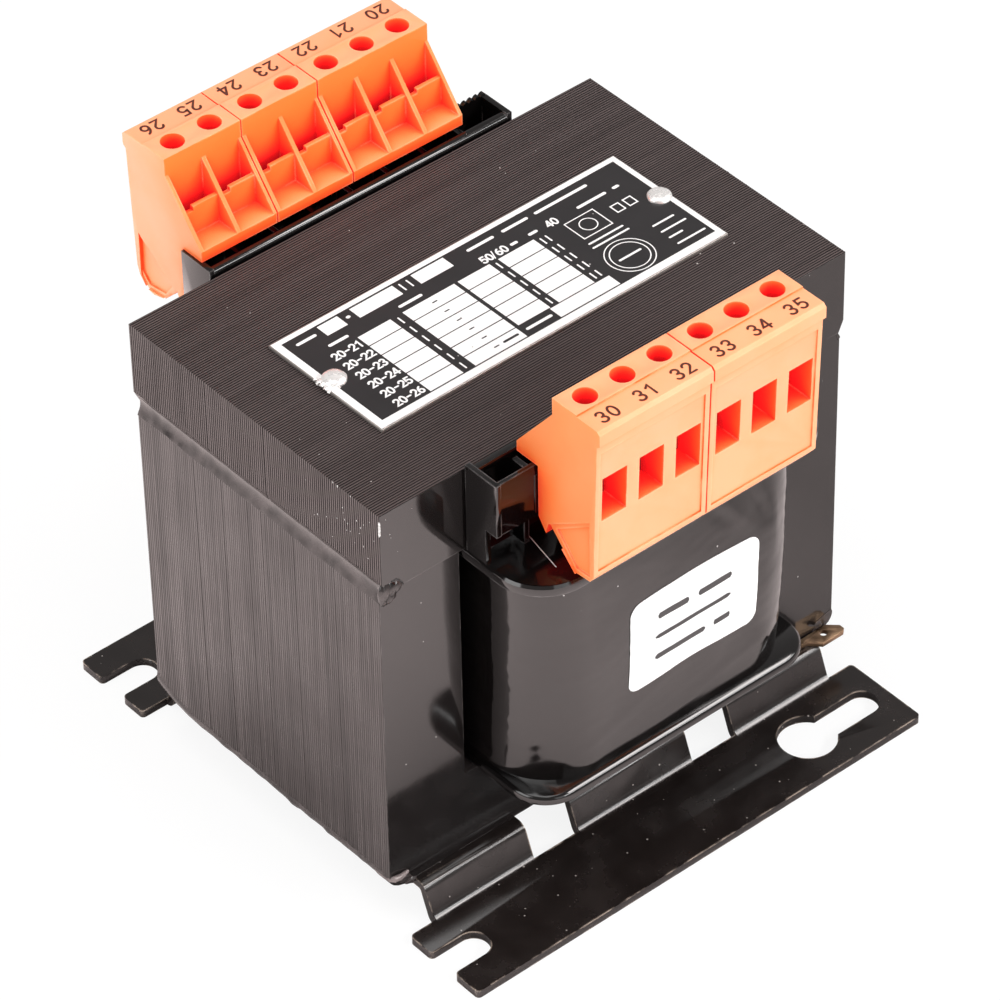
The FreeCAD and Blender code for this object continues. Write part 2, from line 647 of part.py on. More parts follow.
def terminal_block(start, poles):
    rounded_skirt = poles == min(BACK_POLE_COUNTS)
    x_range = (start, start + poles * PITCH + BLOCK_EXTRA - BLOCK_GAP)
    block = prism_along_x(block_outline(rounded_skirt), x_range)
    cutters = [face_panel(x_range, rounded_skirt)]
    for index in range(poles):
        cutters += pole_cutters(pole_centre(start, index))
    for depth, rim in ((SKIRT_STEP, 0.0), (SKIRT_RECESS, SKIRT_RIM)):
        outline = skirt_outline(rounded_skirt, rim)
        cutters.append(prism_along_x(outline, (x_range[0] - OVERRUN, x_range[0] + depth)))
        cutters.append(prism_along_x(outline, (x_range[1] - depth, x_range[1] + OVERRUN)))
    for cutter in cutters:
        block = block.cut(cutter)
    return block


def clamp_cage(centre):
    half = WINDOW_WIDTH / 2
    shell = box((centre - half, centre + half), (-CAGE_FRONT, -WINDOW_BACK), (WINDOW_LOW, WINDOW_HIGH))
    throat = box(
        (centre - half + CAGE_WALL, centre + half - CAGE_WALL),
        (-CAGE_FRONT - OVERRUN, OVERRUN - WINDOW_BACK),
        (WINDOW_LOW + CAGE_WALL, WINDOW_HIGH - CAGE_WALL),
    )
    return shell.cut(throat)


def clamp_screw(centre):
    outline = []
    for side in range(SCREW_HEAD_SIDES):
        turn = 2 * math.pi * side / SCREW_HEAD_SIDES
        x = centre + SCREW_HEAD_RADIUS * math.cos(turn)
        y = SCREW_HEAD_RADIUS * math.sin(turn) - SCREW_HOLE_FACE
        outline.append((x, y))
    return prism_along_z(outline, (WINDOW_HIGH, WINDOW_HIGH + SCREW_HEAD_HEIGHT))


def terminal_rows():
    blocks = {}
    cages = []
    screws = []
    for row_start, names, pole_counts, to_side in (
        (FRONT_ROW_START, FRONT_BLOCK_NAMES, FRONT_POLE_COUNTS, lambda shape: shape),
        (BACK_ROW_START, BACK_BLOCK_NAMES, BACK_POLE_COUNTS, lambda shape: mirrored(shape, Y_AXIS)),
    ):
        start = row_start
        for name, poles in zip(names, pole_counts):
            blocks[name] = to_side(terminal_block(start, poles))
            for index in range(poles):
                centre = pole_centre(start, index)
                cages.append(to_side(clamp_cage(centre)))
                screws.append(to_side(clamp_screw(centre)))
            start += poles * PITCH + BLOCK_EXTRA
    return blocks, cages, screws


# Rating plate with its two rivets, and the earth tab on the front foot

def rating_plate():
    x, y = PLATE_CENTRE
    half_x, half_y = PLATE_LENGTH / 2, PLATE_WIDTH / 2
    plate = box((x - half_x, x + half_x), (y - half_y, y + half_y), (CORE_TOP, CORE_TOP + PLATE_THICKNESS))
    for centre_x, centre_y in RIVET_CENTRES:
        start = FreeCAD.Vector(centre_x, centre_y, CORE_TOP - OVERRUN)
        plate = plate.cut(Part.makeCylinder(RIVET_HOLE_RADIUS, PLATE_THICKNESS + 2 * OVERRUN, start))
    return plate


def plate_rivet(x, y):
    seat = CORE_TOP + PLATE_THICKNESS
    head_start = FreeCAD.Vector(x, y, seat)
    head = Part.makeCone(RIVET_HEAD_RADIUS, RIVET_CROWN_RADIUS, RIVET_HEAD_HEIGHT, head_start)
    shank_start = FreeCAD.Vector(x, y, CORE_TOP - RIVET_SHANK_DEPTH)
    shank_length = RIVET_SHANK_DEPTH + PLATE_THICKNESS + RIVET_OVERLAP
    shank = Part.makeCylinder(RIVET_SHANK_RADIUS, shank_length, shank_start)
    return head.fuse(shank)


def earth_tab():
    seat_x, seat_y = TAB_SEAT
    outline = [(seat_x + x, seat_y + y) for x, y in TAB_OUTLINE]
    tab = prism_along_z(outline, (CORE_BOTTOM, CORE_BOTTOM + TAB_THICKNESS))
    hole_x, hole_y = seat_x + TAB_HOLE_OFFSET[0], seat_y + TAB_HOLE_OFFSET[1]
    start = FreeCAD.Vector(hole_x, hole_y, CORE_BOTTOM - OVERRUN)
    return tab.cut(Part.makeCylinder(TAB_HOLE_RADIUS, TAB_THICKNESS + 2 * OVERRUN, start))


def build():
    blocks, cages, screws = terminal_rows()
    primary, sheet, secondary = winding_layers()
    foot = front_foot()
    right_bead = foot_weld()
    beads = [piece for side in both_sides(right_bead, X_AXIS) for piece in both_sides(side, Y_AXIS)]
    nodes = {
        "core_e_stack": core_e_stack(),
        "core_i_stack": core_i_stack(),
        "joint_weld_right": joint_weld(),
        "joint_weld_left": mirrored(joint_weld(), X_AXIS),
        "foot_welds": Part.makeCompound(beads),
        "front_foot": foot,
        "back_foot": mirrored(foot, Y_AXIS),
        "bobbin": bobbin(),
        "primary_winding": primary,
        "winding_insulation": sheet,
        "secondary_winding": secondary,
        "outer_wrap": outer_wrap(),
        "test_label": test_label(),
        "clamp_cages": Part.makeCompound(cages),
        "clamp_screws": Part.makeCompound(screws),
        "rating_plate": rating_plate(),
        "plate_rivets": Part.makeCompound([plate_rivet(x, y) for x, y in RIVET_CENTRES]),
        "earth_tab": earth_tab(),
    }
    nodes.update(blocks)
    return nodes


os.makedirs("parts", exist_ok=True)
for node_name, node_shape in build().items():
    node_shape.exportStep("parts/" + node_name + ".step")
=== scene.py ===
import math
import random

import bmesh
import bpy
from mathutils import Matrix, Vector, noise


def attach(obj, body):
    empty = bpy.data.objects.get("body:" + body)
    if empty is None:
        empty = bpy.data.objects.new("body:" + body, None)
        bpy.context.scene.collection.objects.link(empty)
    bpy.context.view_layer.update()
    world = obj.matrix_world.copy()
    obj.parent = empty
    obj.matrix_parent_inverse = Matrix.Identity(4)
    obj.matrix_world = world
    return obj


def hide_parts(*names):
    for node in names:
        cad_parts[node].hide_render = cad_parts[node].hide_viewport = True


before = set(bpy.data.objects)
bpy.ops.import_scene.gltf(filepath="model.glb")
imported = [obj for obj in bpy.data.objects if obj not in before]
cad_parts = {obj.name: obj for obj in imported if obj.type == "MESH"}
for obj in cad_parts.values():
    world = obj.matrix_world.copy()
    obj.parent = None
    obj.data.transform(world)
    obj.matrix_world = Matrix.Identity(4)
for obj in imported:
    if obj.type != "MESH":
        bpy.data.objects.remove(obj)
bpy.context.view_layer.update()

# Looks of a laminated chassis transformer: stacked sheets, welds, enamelled feet,
# moulded bobbin and terminal blocks, taped coil, printed plate and plain label.
# Dimensions are millimetres in the part's own frame and become metres at the end.

MM = 0.001
shuffle = random.Random(96)

CORE_TOP = 87.5
CORE_BOTTOM = 7.5
JOINT_HEIGHT = 71.5
E_TOP = JOINT_HEIGHT - 0.1
LEG = 16.0
CORE_HALF = 48.0
E_HALF_DEPTH = 29.9
I_HALF_DEPTH = 30.7
LOWER_SHEETS = 120
UPPER_SHEETS = 123
WRAP_LOW = 25.4
WRAP_HIGH = 71.2
BLOCK_TOP = 104.4
STRIP_TOP = BLOCK_TOP - 0.25
PITCH = 7.5
BLOCK_EXTRA = 0.6


# Small helpers for meshes

def put(name, data):
    made = bpy.data.objects.new(name, data)
    bpy.context.scene.collection.objects.link(made)
    return made


def place(shape, name, material, nodes=(), smooth_angle=35.0):
    for vertex in shape.verts:
        vertex.co *= MM
    mesh = bpy.data.meshes.new(name)
    shape.to_mesh(mesh)
    shape.free()
    piece = put(name, mesh)
    mesh.materials.append(material)
    for face in mesh.polygons:
        face.use_smooth = True
    mesh.set_sharp_from_angle(angle=math.radians(smooth_angle))
    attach(piece, "root")
    if nodes:
        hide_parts(*nodes)
    return piece


def solid_from(node_name):
    shape = bmesh.new()
    shape.from_mesh(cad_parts[node_name].data)
    for vertex in shape.verts:
        vertex.co /= MM
    bmesh.ops.remove_doubles(shape, verts=shape.verts, dist=0.002)
    bmesh.ops.dissolve_limit(
        shape, angle_limit=math.radians(0.6), verts=shape.verts, edges=shape.edges
    )
    return shape


def bevel(shape, edges, width, segments):
    bmesh.ops.bevel(
        shape, geom=edges, offset=width, offset_type="OFFSET", affect="EDGES", segments=segments,
        profile=0.5, material=-1, clamp_overlap=True,
    )


def ease_edges(shape, width, from_angle=30.0, segments=2, accept=lambda edge: True):
    sharp = [
        edge
        for edge in shape.edges
        if edge.is_manifold and edge.calc_face_angle() > math.radians(from_angle) and accept(edge)
    ]
    bevel(shape, sharp, width, segments)
    return shape


def eased_node(node_name, piece_name, width, material):
    place(ease_edges(solid_from(node_name), width), piece_name, material, [node_name])


def vertices_in(geometry):
    return [item for item in geometry if isinstance(item, bmesh.types.BMVert)]


def face_outwards(shape):
    bmesh.ops.recalc_face_normals(shape, faces=shape.faces)


def thicken(shape, thickness):
    face_outwards(shape)
    if sum(face.normal.xy.dot(face.calc_center_median().xy) for face in shape.faces) < 0:
        bmesh.ops.reverse_faces(shape, faces=shape.faces)
    bmesh.ops.solidify(shape, geom=shape.faces[:], thickness=thickness)
    face_outwards(shape)


def skin(shape, rows):
    for near, far in zip(rows, rows[1:]):
        for index in range(len(near)):
            after = (index + 1) % len(near)
            shape.faces.new((near[index], near[after], far[after], far[index]))
    shape.faces.new(rows[0])
    shape.faces.new(list(reversed(rows[-1])))


def block(shape, low, high):
    made = bmesh.ops.create_cube(shape, size=1.0)["verts"]
    size = Vector(high) - Vector(low)
    bmesh.ops.scale(shape, vec=size, verts=made)
    bmesh.ops.translate(shape, vec=Vector(low) + size / 2, verts=made)
    return made


# Small helpers for shader trees

def add(tree, kind, values=None, **settings):
    made = tree.nodes.new("ShaderNode" + kind)
    for key, value in settings.items():
        setattr(made, key, value)
    for key, value in (values or {}).items():
        if isinstance(value, bpy.types.NodeSocket):
            tree.links.new(value, made.inputs[key])
        else:
            made.inputs[key].default_value = value
    return made


def math_node(tree, operation, first, second=0.0, clamp=False):
    made = add(tree, "Math", {0: first, 1: second}, operation=operation, use_clamp=clamp)
    return made.outputs[0]


def times(tree, first, second, clamp=False):
    return math_node(tree, "MULTIPLY", first, second, clamp)


def plus(tree, first, second, clamp=False):
    return math_node(tree, "ADD", first, second, clamp)


def blend_colour(tree, share, first, second):
    made = add(tree, "Mix", data_type="RGBA")
    for key, value in (("Factor", share), ("A", first), ("B", second)):
        socket = [s for s in made.inputs if s.name == key and s.enabled][0]
        if isinstance(value, bpy.types.NodeSocket):
            tree.links.new(value, socket)
        else:
            socket.default_value = (*value, 1)
    return [s for s in made.outputs if s.enabled][0]


def stretch(tree, value, low, high, to_low=0.0, to_high=1.0):
    made = add(
        tree,
        "MapRange",
        {"Value": value, "From Min": low, "From Max": high, "To Min": to_low, "To Max": to_high},
    )
    return made.outputs["Result"]


def link(tree, source, node, socket):
    tree.links.new(source, node.inputs[socket])


def in_place(tree):
    return add(tree, "TexCoord").outputs["Object"]


def effect(name, inputs, outputs):
    tree = bpy.data.node_groups.new(name, "ShaderNodeTree")
    for way, labels in (("INPUT", inputs), ("OUTPUT", outputs)):
        for label in labels:
            tree.interface.new_socket(label, in_out=way, socket_type="NodeSocketFloat")
    return tree, tree.nodes.new("NodeGroupInput"), tree.nodes.new("NodeGroupOutput")


def use(tree, group, **values):
    return add(tree, "Group", values, node_tree=group).outputs


# Effects that several finishes share. Lengths inside them are metres.

def make_specks():
    tree, given, result = effect("dust_specks", ("Spacing", "Size", "Share"), ("Mask",))
    scale = math_node(tree, "DIVIDE", 1.0, given.outputs["Spacing"])
    cells = add(tree, "TexVoronoi", {"Vector": in_place(tree), "Scale": scale})
    tint = add(tree, "SeparateColor", {"Color": cells.outputs["Color"]})
    radius = times(tree, given.outputs["Size"], tint.outputs["Green"])
    inside = math_node(tree, "LESS_THAN", cells.outputs["Distance"], radius)
    chosen = math_node(tree, "LESS_THAN", tint.outputs["Red"], given.outputs["Share"])
    link(tree, times(tree, inside, chosen), result, "Mask")
    return tree


def make_grain():
    tree, given, result = effect("paint_grain", ("Fine", "Broad", "Waviness"), ("Height", "Cloud"))
    place_in = in_place(tree)
    fine_scale = math_node(tree, "DIVIDE", 1.0, given.outputs["Fine"])
    broad_scale = math_node(tree, "DIVIDE", 1.0, given.outputs["Broad"])
    fine = add(tree, "TexNoise", {"Vector": place_in, "Scale": fine_scale, "Detail": 3.0})
    broad = add(tree, "TexNoise", {"Vector": place_in, "Scale": broad_scale, "Detail": 4.0})
    waves = times(tree, broad.outputs[0], given.outputs["Waviness"])
    link(tree, plus(tree, times(tree, fine.outputs[0], 0.1), waves), result, "Height")
    link(tree, broad.outputs[0], result, "Cloud")
    return tree


# Lighter edges: partly real wear, partly painted highlight along the edges
def make_edge_wear_and_highlight():
    tree, given, result = effect("edge_wear_and_highlight", ("Width", "Breakup"), ("Mask",))
    rounded = add(tree, "Bevel", {"Radius": given.outputs["Width"]}, samples=4)
    flat = add(tree, "NewGeometry").outputs["Normal"]
    turn = add(tree, "VectorMath", {0: rounded.outputs[0], 1: flat}, operation="DOT_PRODUCT")
    edge = stretch(tree, turn.outputs["Value"], 0.995, 0.9)
    scale = math_node(tree, "DIVIDE", 1.0, given.outputs["Breakup"])
    broken = add(tree, "TexNoise", {"Vector": in_place(tree), "Scale": scale, "Detail": 5.0})
    patchy = stretch(tree, broken.outputs[0], 0.45, 0.62)
    link(tree, times(tree, edge, patchy, True), result, "Mask")
    return tree


def make_sheet_streaks():
    tree, given, result = effect(
        "sheet_streaks", ("Start", "Pitch", "Length"), ("Shade", "Streak", "Groove")
    )
    split = add(tree, "SeparateXYZ", {"Vector": in_place(tree)})
    depth = math_node(tree, "SUBTRACT", split.outputs["Y"], given.outputs["Start"])
    turn = math_node(tree, "DIVIDE", depth, given.outputs["Pitch"])
    sheet = math_node(tree, "FLOOR", turn)
    single = add(tree, "TexWhiteNoise", {"W": sheet}, noise_dimensions="1D")
    slow_place = {"W": times(tree, sheet, 0.13), "Scale": 1.0, "Detail": 3.0}
    slow = add(tree, "TexNoise", slow_place, noise_dimensions="1D")
    slow_shade = stretch(tree, slow.outputs[0], 0.3, 0.7, 0.0, 0.55)
    link(tree, plus(tree, times(tree, single.outputs["Value"], 0.45), slow_shade), result, "Shade")
    along = {
        "X": math_node(tree, "DIVIDE", split.outputs["X"], given.outputs["Length"]),
        "Y": times(tree, sheet, 7.3),
        "Z": math_node(tree, "DIVIDE", split.outputs["Z"], given.outputs["Length"]),
    }
    streak_place = add(tree, "CombineXYZ", along).outputs[0]
    streak = add(tree, "TexNoise", {"Vector": streak_place, "Scale": 1.0, "Detail": 4.0})
    link(tree, streak.outputs[0], result, "Streak")
    centred = math_node(tree, "SUBTRACT", math_node(tree, "FRACT", turn), 0.5)
    off_middle = math_node(tree, "ABSOLUTE", centred)
    link(tree, stretch(tree, off_middle, 0.14, 0.36), result, "Groove")
    return tree


# Painted shade: a mask that rises in recesses and crevices, where shade falls
def make_recess_shade():
    tree, given, result = effect("painted_recess_shade", ("Reach",), ("Mask",))
    hidden = add(tree, "AmbientOcclusion", {"Distance": given.outputs["Reach"]}, samples=12)
    link(tree, math_node(tree, "SUBTRACT", 1.0, hidden.outputs["AO"]), result, "Mask")
    return tree


# Masks for faces turned to -X and -Y, used to lay painted shade on those sides
def make_side_shade():
    tree, given, result = effect("painted_side_shade", (), ("End", "Face"))
    split = add(tree, "SeparateXYZ", {"Vector": add(tree, "NewGeometry").outputs["Normal"]})
    for axis, label in (("X", "End"), ("Y", "Face")):
        turned = times(tree, split.outputs[axis], -1.0)
        link(tree, math_node(tree, "MAXIMUM", turned, 0.0), result, label)
    return tree


SPECKS = make_specks()
GRAIN = make_grain()
EDGE_WEAR_AND_HIGHLIGHT = make_edge_wear_and_highlight()
SHEET_STREAKS = make_sheet_streaks()
RECESS_SHADE = make_recess_shade()
SIDE_SHADE = make_side_shade()


def finish(name, colour, roughness, metallic=0.0, specular=0.5):
    material = bpy.data.materials.new(name)
    material.use_nodes = True
    tree = material.node_tree
    shader = tree.nodes["Principled BSDF"]
    for socket, value in (
        ("Base Color", (*colour, 1.0)), ("Roughness", roughness), ("Metallic", metallic),
        ("Specular IOR Level", specular),
    ):
        shader.inputs[socket].default_value = value
    return material, tree, shader


def bump(tree, shader, height, strength, depth):
    made = add(tree, "Bump", {"Height": height, "Strength": strength, "Distance": depth})
    link(tree, made.outputs["Normal"], shader, "Normal")


# Finishes

def core_paint(name, half_depth, count, line_share, variety, dark, light, specular):
    material, tree, shader = finish(name, (0.04, 0.031, 0.03), 0.3, specular=specular)
    pitch = 2 * half_depth / count
    lines = use(tree, SHEET_STREAKS, Start=-half_depth * MM, Pitch=pitch * MM, Length=0.03)
    specks = use(tree, SPECKS, Spacing=0.0019, Size=0.085, Share=0.2)["Mask"]
    grain = use(tree, GRAIN, Fine=0.0004, Broad=0.012, Waviness=0.4)
    streak = stretch(tree, lines["Streak"], 0.35, 0.65, 0.0, 0.5)
    tone = plus(tree, times(tree, lines["Shade"], 0.5), streak)
    uneven = math_node(tree, "SUBTRACT", tone, 0.5)
    shade = plus(tree, times(tree, uneven, variety), 0.5, True)
    paint = blend_colour(
        tree, shade, (dark, dark * 0.78, dark * 0.76), (light, light * 0.77, light * 0.75)
    )
    gap = times(tree, lines["Groove"], line_share)
    lined = blend_colour(tree, gap, paint, (0.002, 0.0015, 0.0015))
    link(tree, blend_colour(tree, specks, lined, (0.6, 0.57, 0.55)), shader, "Base Color")
    gloss = stretch(tree, plus(tree, shade, grain["Cloud"]), 0.6, 1.4, 0.4, 0.18)
    link(tree, plus(tree, gloss, times(tree, gap, 0.45)), shader, "Roughness")
    bump(tree, shader, grain["Height"], 0.4, 0.00006)
    return material


def clouded(
    name, colour, roughness, grain, dark, light, relief, gloss=None, specks=None,
    fleck=(0.45, 0.43, 0.42), wear_and_highlight=None, wear_and_highlight_colour=None, mottled=False, metallic=0.0, specular=0.5,
):
    # Two shades in soft clouds, under dust specks and lighter edges where they are given; the lighter edges
    # are partly wear and partly painted highlight
    material, tree, shader = finish(name, colour, roughness, metallic, specular)
    fine, broad, waviness = grain
    texture = use(tree, GRAIN, Fine=fine, Broad=broad, Waviness=waviness)
    cloud = texture["Cloud"]
    shown = blend_colour(tree, stretch(tree, cloud, 0.36, 0.64) if mottled else cloud, dark, light)
    if specks:
        spacing, size, share = specks
        mask = use(tree, SPECKS, Spacing=spacing, Size=size, Share=share)["Mask"]
        shown = blend_colour(tree, mask, shown, fleck)
    if wear_and_highlight:
        width, breakup = wear_and_highlight
        mask = use(tree, EDGE_WEAR_AND_HIGHLIGHT, Width=width, Breakup=breakup)["Mask"]
        shown = blend_colour(tree, mask, shown, wear_and_highlight_colour)
    link(tree, shown, shader, "Base Color")
    if gloss:
        link(tree, stretch(tree, cloud, 0.3, 0.7, *gloss), shader, "Roughness")
    bump(tree, shader, texture["Height"], *relief)
    return material


def weld_metal(name, dark, light):
    return clouded(
        name, (0.03, 0.025, 0.024), 0.25, (0.0005, 0.003, 0.8),
        (dark, dark * 0.8, dark * 0.78), (light, light * 0.82, light * 0.8), (0.4, 0.00012),
        gloss=(0.16, 0.32), specks=(0.002, 0.08, 0.12), fleck=(0.45, 0.43, 0.41), mottled=True,
        specular=0.4,
    )


def foot_enamel(name, wear_and_highlight):
    return clouded(
        name, (0.016, 0.012, 0.0115), 0.12, (0.0006, 0.006, 0.5),
        (0.006, 0.0042, 0.0038), (0.019, 0.0145, 0.0135), (0.45, 0.00007),
        gloss=(0.17, 0.32), specks=(0.0014, 0.12, 0.5), fleck=(0.32, 0.29, 0.27), wear_and_highlight=wear_and_highlight,
        wear_and_highlight_colour=(0.5, 0.4, 0.33),
    )


def print_finish(name, dark, light, roughness):
    return clouded(
        name, light, roughness, (0.0004, 0.006, 0.5), dark, light, (0.2, 0.00004),
        specks=(0.003, 0.07, 0.15),
    )


def ramp(tree, share, stops):
    made = add(tree, "ValToRGB", {"Fac": share})
    spread = made.color_ramp.elements
    while len(spread) < len(stops):
        spread.new(0.5)
    for element, (position, *colour) in zip(spread, stops):
        element.position = position
        element.color = (*colour, 1)
    return made.outputs["Color"]


# Orange plastic with painted shade: redder in recesses and on the sides each copy names, and a painted red
# glow in recesses
def terminal_orange(name, end_shade_share, face_shade_share):
    material, tree, shader = finish(name, (1.0, 0.38, 0.18), 0.4, specular=0.2)
    grain = use(tree, GRAIN, Fine=0.0004, Broad=0.009, Waviness=0.4)
    specks = use(tree, SPECKS, Spacing=0.0035, Size=0.05, Share=0.08)["Mask"]
    wear_and_highlight = use(tree, EDGE_WEAR_AND_HIGHLIGHT, Width=0.0005, Breakup=0.006)["Mask"]
    recess_shade_mask = use(tree, RECESS_SHADE, Reach=0.009)["Mask"]
    turned = use(tree, SIDE_SHADE)
    cloud = stretch(tree, grain["Cloud"], 0.3, 0.7, -0.04, 0.04)
    recess_shade_depth = plus(tree, recess_shade_mask, cloud)
    # Painted shade: the colour deepens to red as the recess shade mask rises
    body = ramp(tree, recess_shade_depth, (
        (0.0, 1.0, 0.42, 0.22), (0.22, 1.0, 0.29, 0.09), (0.45, 1.0, 0.15, 0.035),
        (0.72, 1.0, 0.03, 0.016), (0.95, 0.3, 0.003, 0.006),
    ))
    side_shade_colour = ramp(tree, recess_shade_depth, (
        (0.0, 1.0, 0.23, 0.032), (0.22, 1.0, 0.18, 0.03), (0.45, 1.0, 0.11, 0.022),
        (0.72, 1.0, 0.026, 0.014), (0.95, 0.3, 0.003, 0.006),
    ))
    end_shade = times(tree, turned["End"], end_shade_share)
    shaded = plus(tree, end_shade, times(tree, turned["Face"], face_shade_share), True)
    shaded_plastic = blend_colour(tree, shaded, body, side_shade_colour)
    pale = blend_colour(tree, times(tree, wear_and_highlight, 0.6), shaded_plastic, (1.0, 0.6, 0.32))
    link(tree, blend_colour(tree, specks, pale, (0.25, 0.09, 0.03)), shader, "Base Color")
    # Painted glow: the recesses glow red though no lamp is there
    glow = ramp(tree, recess_shade_depth, (
        (0.1, 0.0, 0.0, 0.0), (0.35, 0.1, 0.008, 0.0), (0.58, 0.32, 0.01, 0.005),
        (0.8, 0.4, 0.006, 0.01), (1.0, 0.08, 0.0, 0.002),
    ))
    link(tree, glow, shader, "Emission Color")
    shader.inputs["Emission Strength"].default_value = 1.0
    link(tree, stretch(tree, grain["Cloud"], 0.3, 0.7, 0.34, 0.48), shader, "Roughness")
    bump(tree, shader, grain["Height"], 0.25, 0.00005)
    return material


def winding_copper():
    material, tree, shader = finish("winding_copper", (0.55, 0.2, 0.07), 0.25, metallic=1.0)
    turns = add(
        tree,
        "TexWave",
        {"Vector": in_place(tree), "Scale": 200.0, "Distortion": 0.6, "Detail": 1.0},
        wave_type="BANDS",
        bands_direction="Z",
        wave_profile="SIN",
    )
    wire = blend_colour(tree, turns.outputs["Fac"], (0.2, 0.05, 0.015), (0.75, 0.3, 0.12))
    link(tree, wire, shader, "Base Color")
    bump(tree, shader, turns.outputs["Fac"], 0.9, 0.0003)
    return material


LOWER_PAINT = core_paint("core_paint_lower", E_HALF_DEPTH, LOWER_SHEETS, 0.45, 0.75, 0.007, 0.062, 0.32)
UPPER_PAINT = core_paint("core_paint_upper", I_HALF_DEPTH, UPPER_SHEETS, 1.0, 0.4, 0.04, 0.155, 0.16)
CRACK_SHADOW = clouded(
    "crack_shadow", (0.004, 0.0035, 0.0035), 0.5, (0.0003, 0.001, 0.8),
    (0.002, 0.0018, 0.0018), (0.007, 0.006, 0.006), (0.5, 0.0001),
)
PAINT_CHIPS = clouded(
    "paint_chips", (0.75, 0.73, 0.71), 0.4, (0.0003, 0.0012, 0.8),
    (0.5, 0.48, 0.46), (0.92, 0.91, 0.9), (0.4, 0.00006),
)
FACE_PAINT = clouded(
    "core_face_paint", (0.03, 0.026, 0.026), 0.07, (0.00045, 0.005, 0.35),
    (0.007, 0.0056, 0.0054), (0.014, 0.0112, 0.011), (0.4, 0.00005), gloss=(0.05, 0.11),
    specks=(0.0021, 0.07, 0.2), fleck=(0.5, 0.48, 0.46), wear_and_highlight=(0.0003, 0.004), wear_and_highlight_colour=(0.16, 0.145, 0.14),
)
WELD_METAL = weld_metal("weld_metal", 0.006, 0.06)
# A lighter copy of the weld finish for the tail at the front foot: partly bare-looking metal, partly painted
# light
WELD_TAIL_LIGHTENED = weld_metal("weld_tail_lightened", 0.1, 0.26)
FOOT_ENAMEL = foot_enamel("foot_enamel", (0.0004, 0.003))
BEND_ENAMEL = foot_enamel("bend_enamel", None)
BOBBIN_PLASTIC = clouded(
    "bobbin_plastic", (0.008, 0.007, 0.0072), 0.12, (0.0004, 0.006, 0.4),
    (0.003, 0.0025, 0.0025), (0.003, 0.0025, 0.0025), (0.3, 0.00004), gloss=(0.07, 0.16),
    specks=(0.0022, 0.08, 0.3), fleck=(0.4, 0.38, 0.37), wear_and_highlight=(0.0004, 0.005), wear_and_highlight_colour=(0.16, 0.15, 0.15),
)
WRAP_TAPE = clouded(
    "wrap_tape", (0.022, 0.019, 0.019), 0.1, (0.0005, 0.006, 0.6),
    (0.003, 0.0024, 0.0023), (0.008, 0.0064, 0.0062), (0.35, 0.00006), gloss=(0.07, 0.15),
    specks=(0.0023, 0.075, 0.25),
)
# Lit and shaded copies of the orange: front blocks get painted shade on their end faces, back blocks on their
# front faces
ORANGE_SHADED_ENDS = terminal_orange("terminal_orange_front_shaded_ends", 0.6, 0.0)
ORANGE_SHADED_FACES = terminal_orange("terminal_orange_back_shaded_faces", 0.0, 0.95)
NUMBER_INK = clouded(
    "number_ink", (0.09, 0.022, 0.012), 0.5, (0.0003, 0.002, 0.4),
    (0.045, 0.008, 0.004), (0.1, 0.02, 0.01), (0.2, 0.00003),
)
CLAMP_STEEL = clouded(
    "clamp_steel", (0.6, 0.59, 0.57), 0.3, (0.0003, 0.002, 0.8),
    (0.42, 0.4, 0.38), (0.66, 0.65, 0.63), (0.3, 0.00005), gloss=(0.22, 0.42), metallic=1.0,
)
RIVET_METAL = clouded(
    "rivet_metal", (0.9, 0.89, 0.88), 0.24, (0.0003, 0.0012, 1.0),
    (0.72, 0.7, 0.68), (0.97, 0.96, 0.95), (0.5, 0.00012), gloss=(0.18, 0.38), metallic=0.5,
)
PLATE_EDGE = clouded(
    "plate_edge", (0.4, 0.38, 0.36), 0.5, (0.0004, 0.003, 0.7),
    (0.2, 0.18, 0.165), (0.4, 0.37, 0.35), (0.3, 0.00005), metallic=0.6,
)
PLATE_BLACK = print_finish("plate_black", (0.012, 0.011, 0.012), (0.022, 0.02, 0.021), 0.28)
PLATE_WHITE = print_finish("plate_white", (0.84, 0.83, 0.82), (0.93, 0.93, 0.92), 0.35)
LABEL_INK = print_finish("label_ink", (0.02, 0.019, 0.02), (0.045, 0.043, 0.045), 0.5)
LABEL_PAPER = print_finish("label_paper", (0.88, 0.88, 0.88), (0.95, 0.95, 0.95), 0.5)
TAB_BRONZE = clouded(
    "tab_bronze", (0.45, 0.34, 0.2), 0.35, (0.0004, 0.003, 0.8),
    (0.14, 0.08, 0.045), (0.5, 0.34, 0.22), (0.4, 0.0001), gloss=(0.25, 0.5), metallic=1.0,
)
WINDING_COPPER = winding_copper()
INSULATION_FILM = clouded(
    "insulation_film", (0.7, 0.62, 0.4), 0.35, (0.0006, 0.01, 0.6),
    (0.6, 0.5, 0.28), (0.8, 0.74, 0.55), (0.3, 0.0001),
)


# Core: every sheet of the two stacks with its own edge, a few of them a little further in

RISE_START = 19.0
RISE_HEIGHT = 3.3


def corner_rise(y):
    return RISE_HEIGHT * max(0.0, (y - RISE_START) / (E_HALF_DEPTH - RISE_START)) ** 2


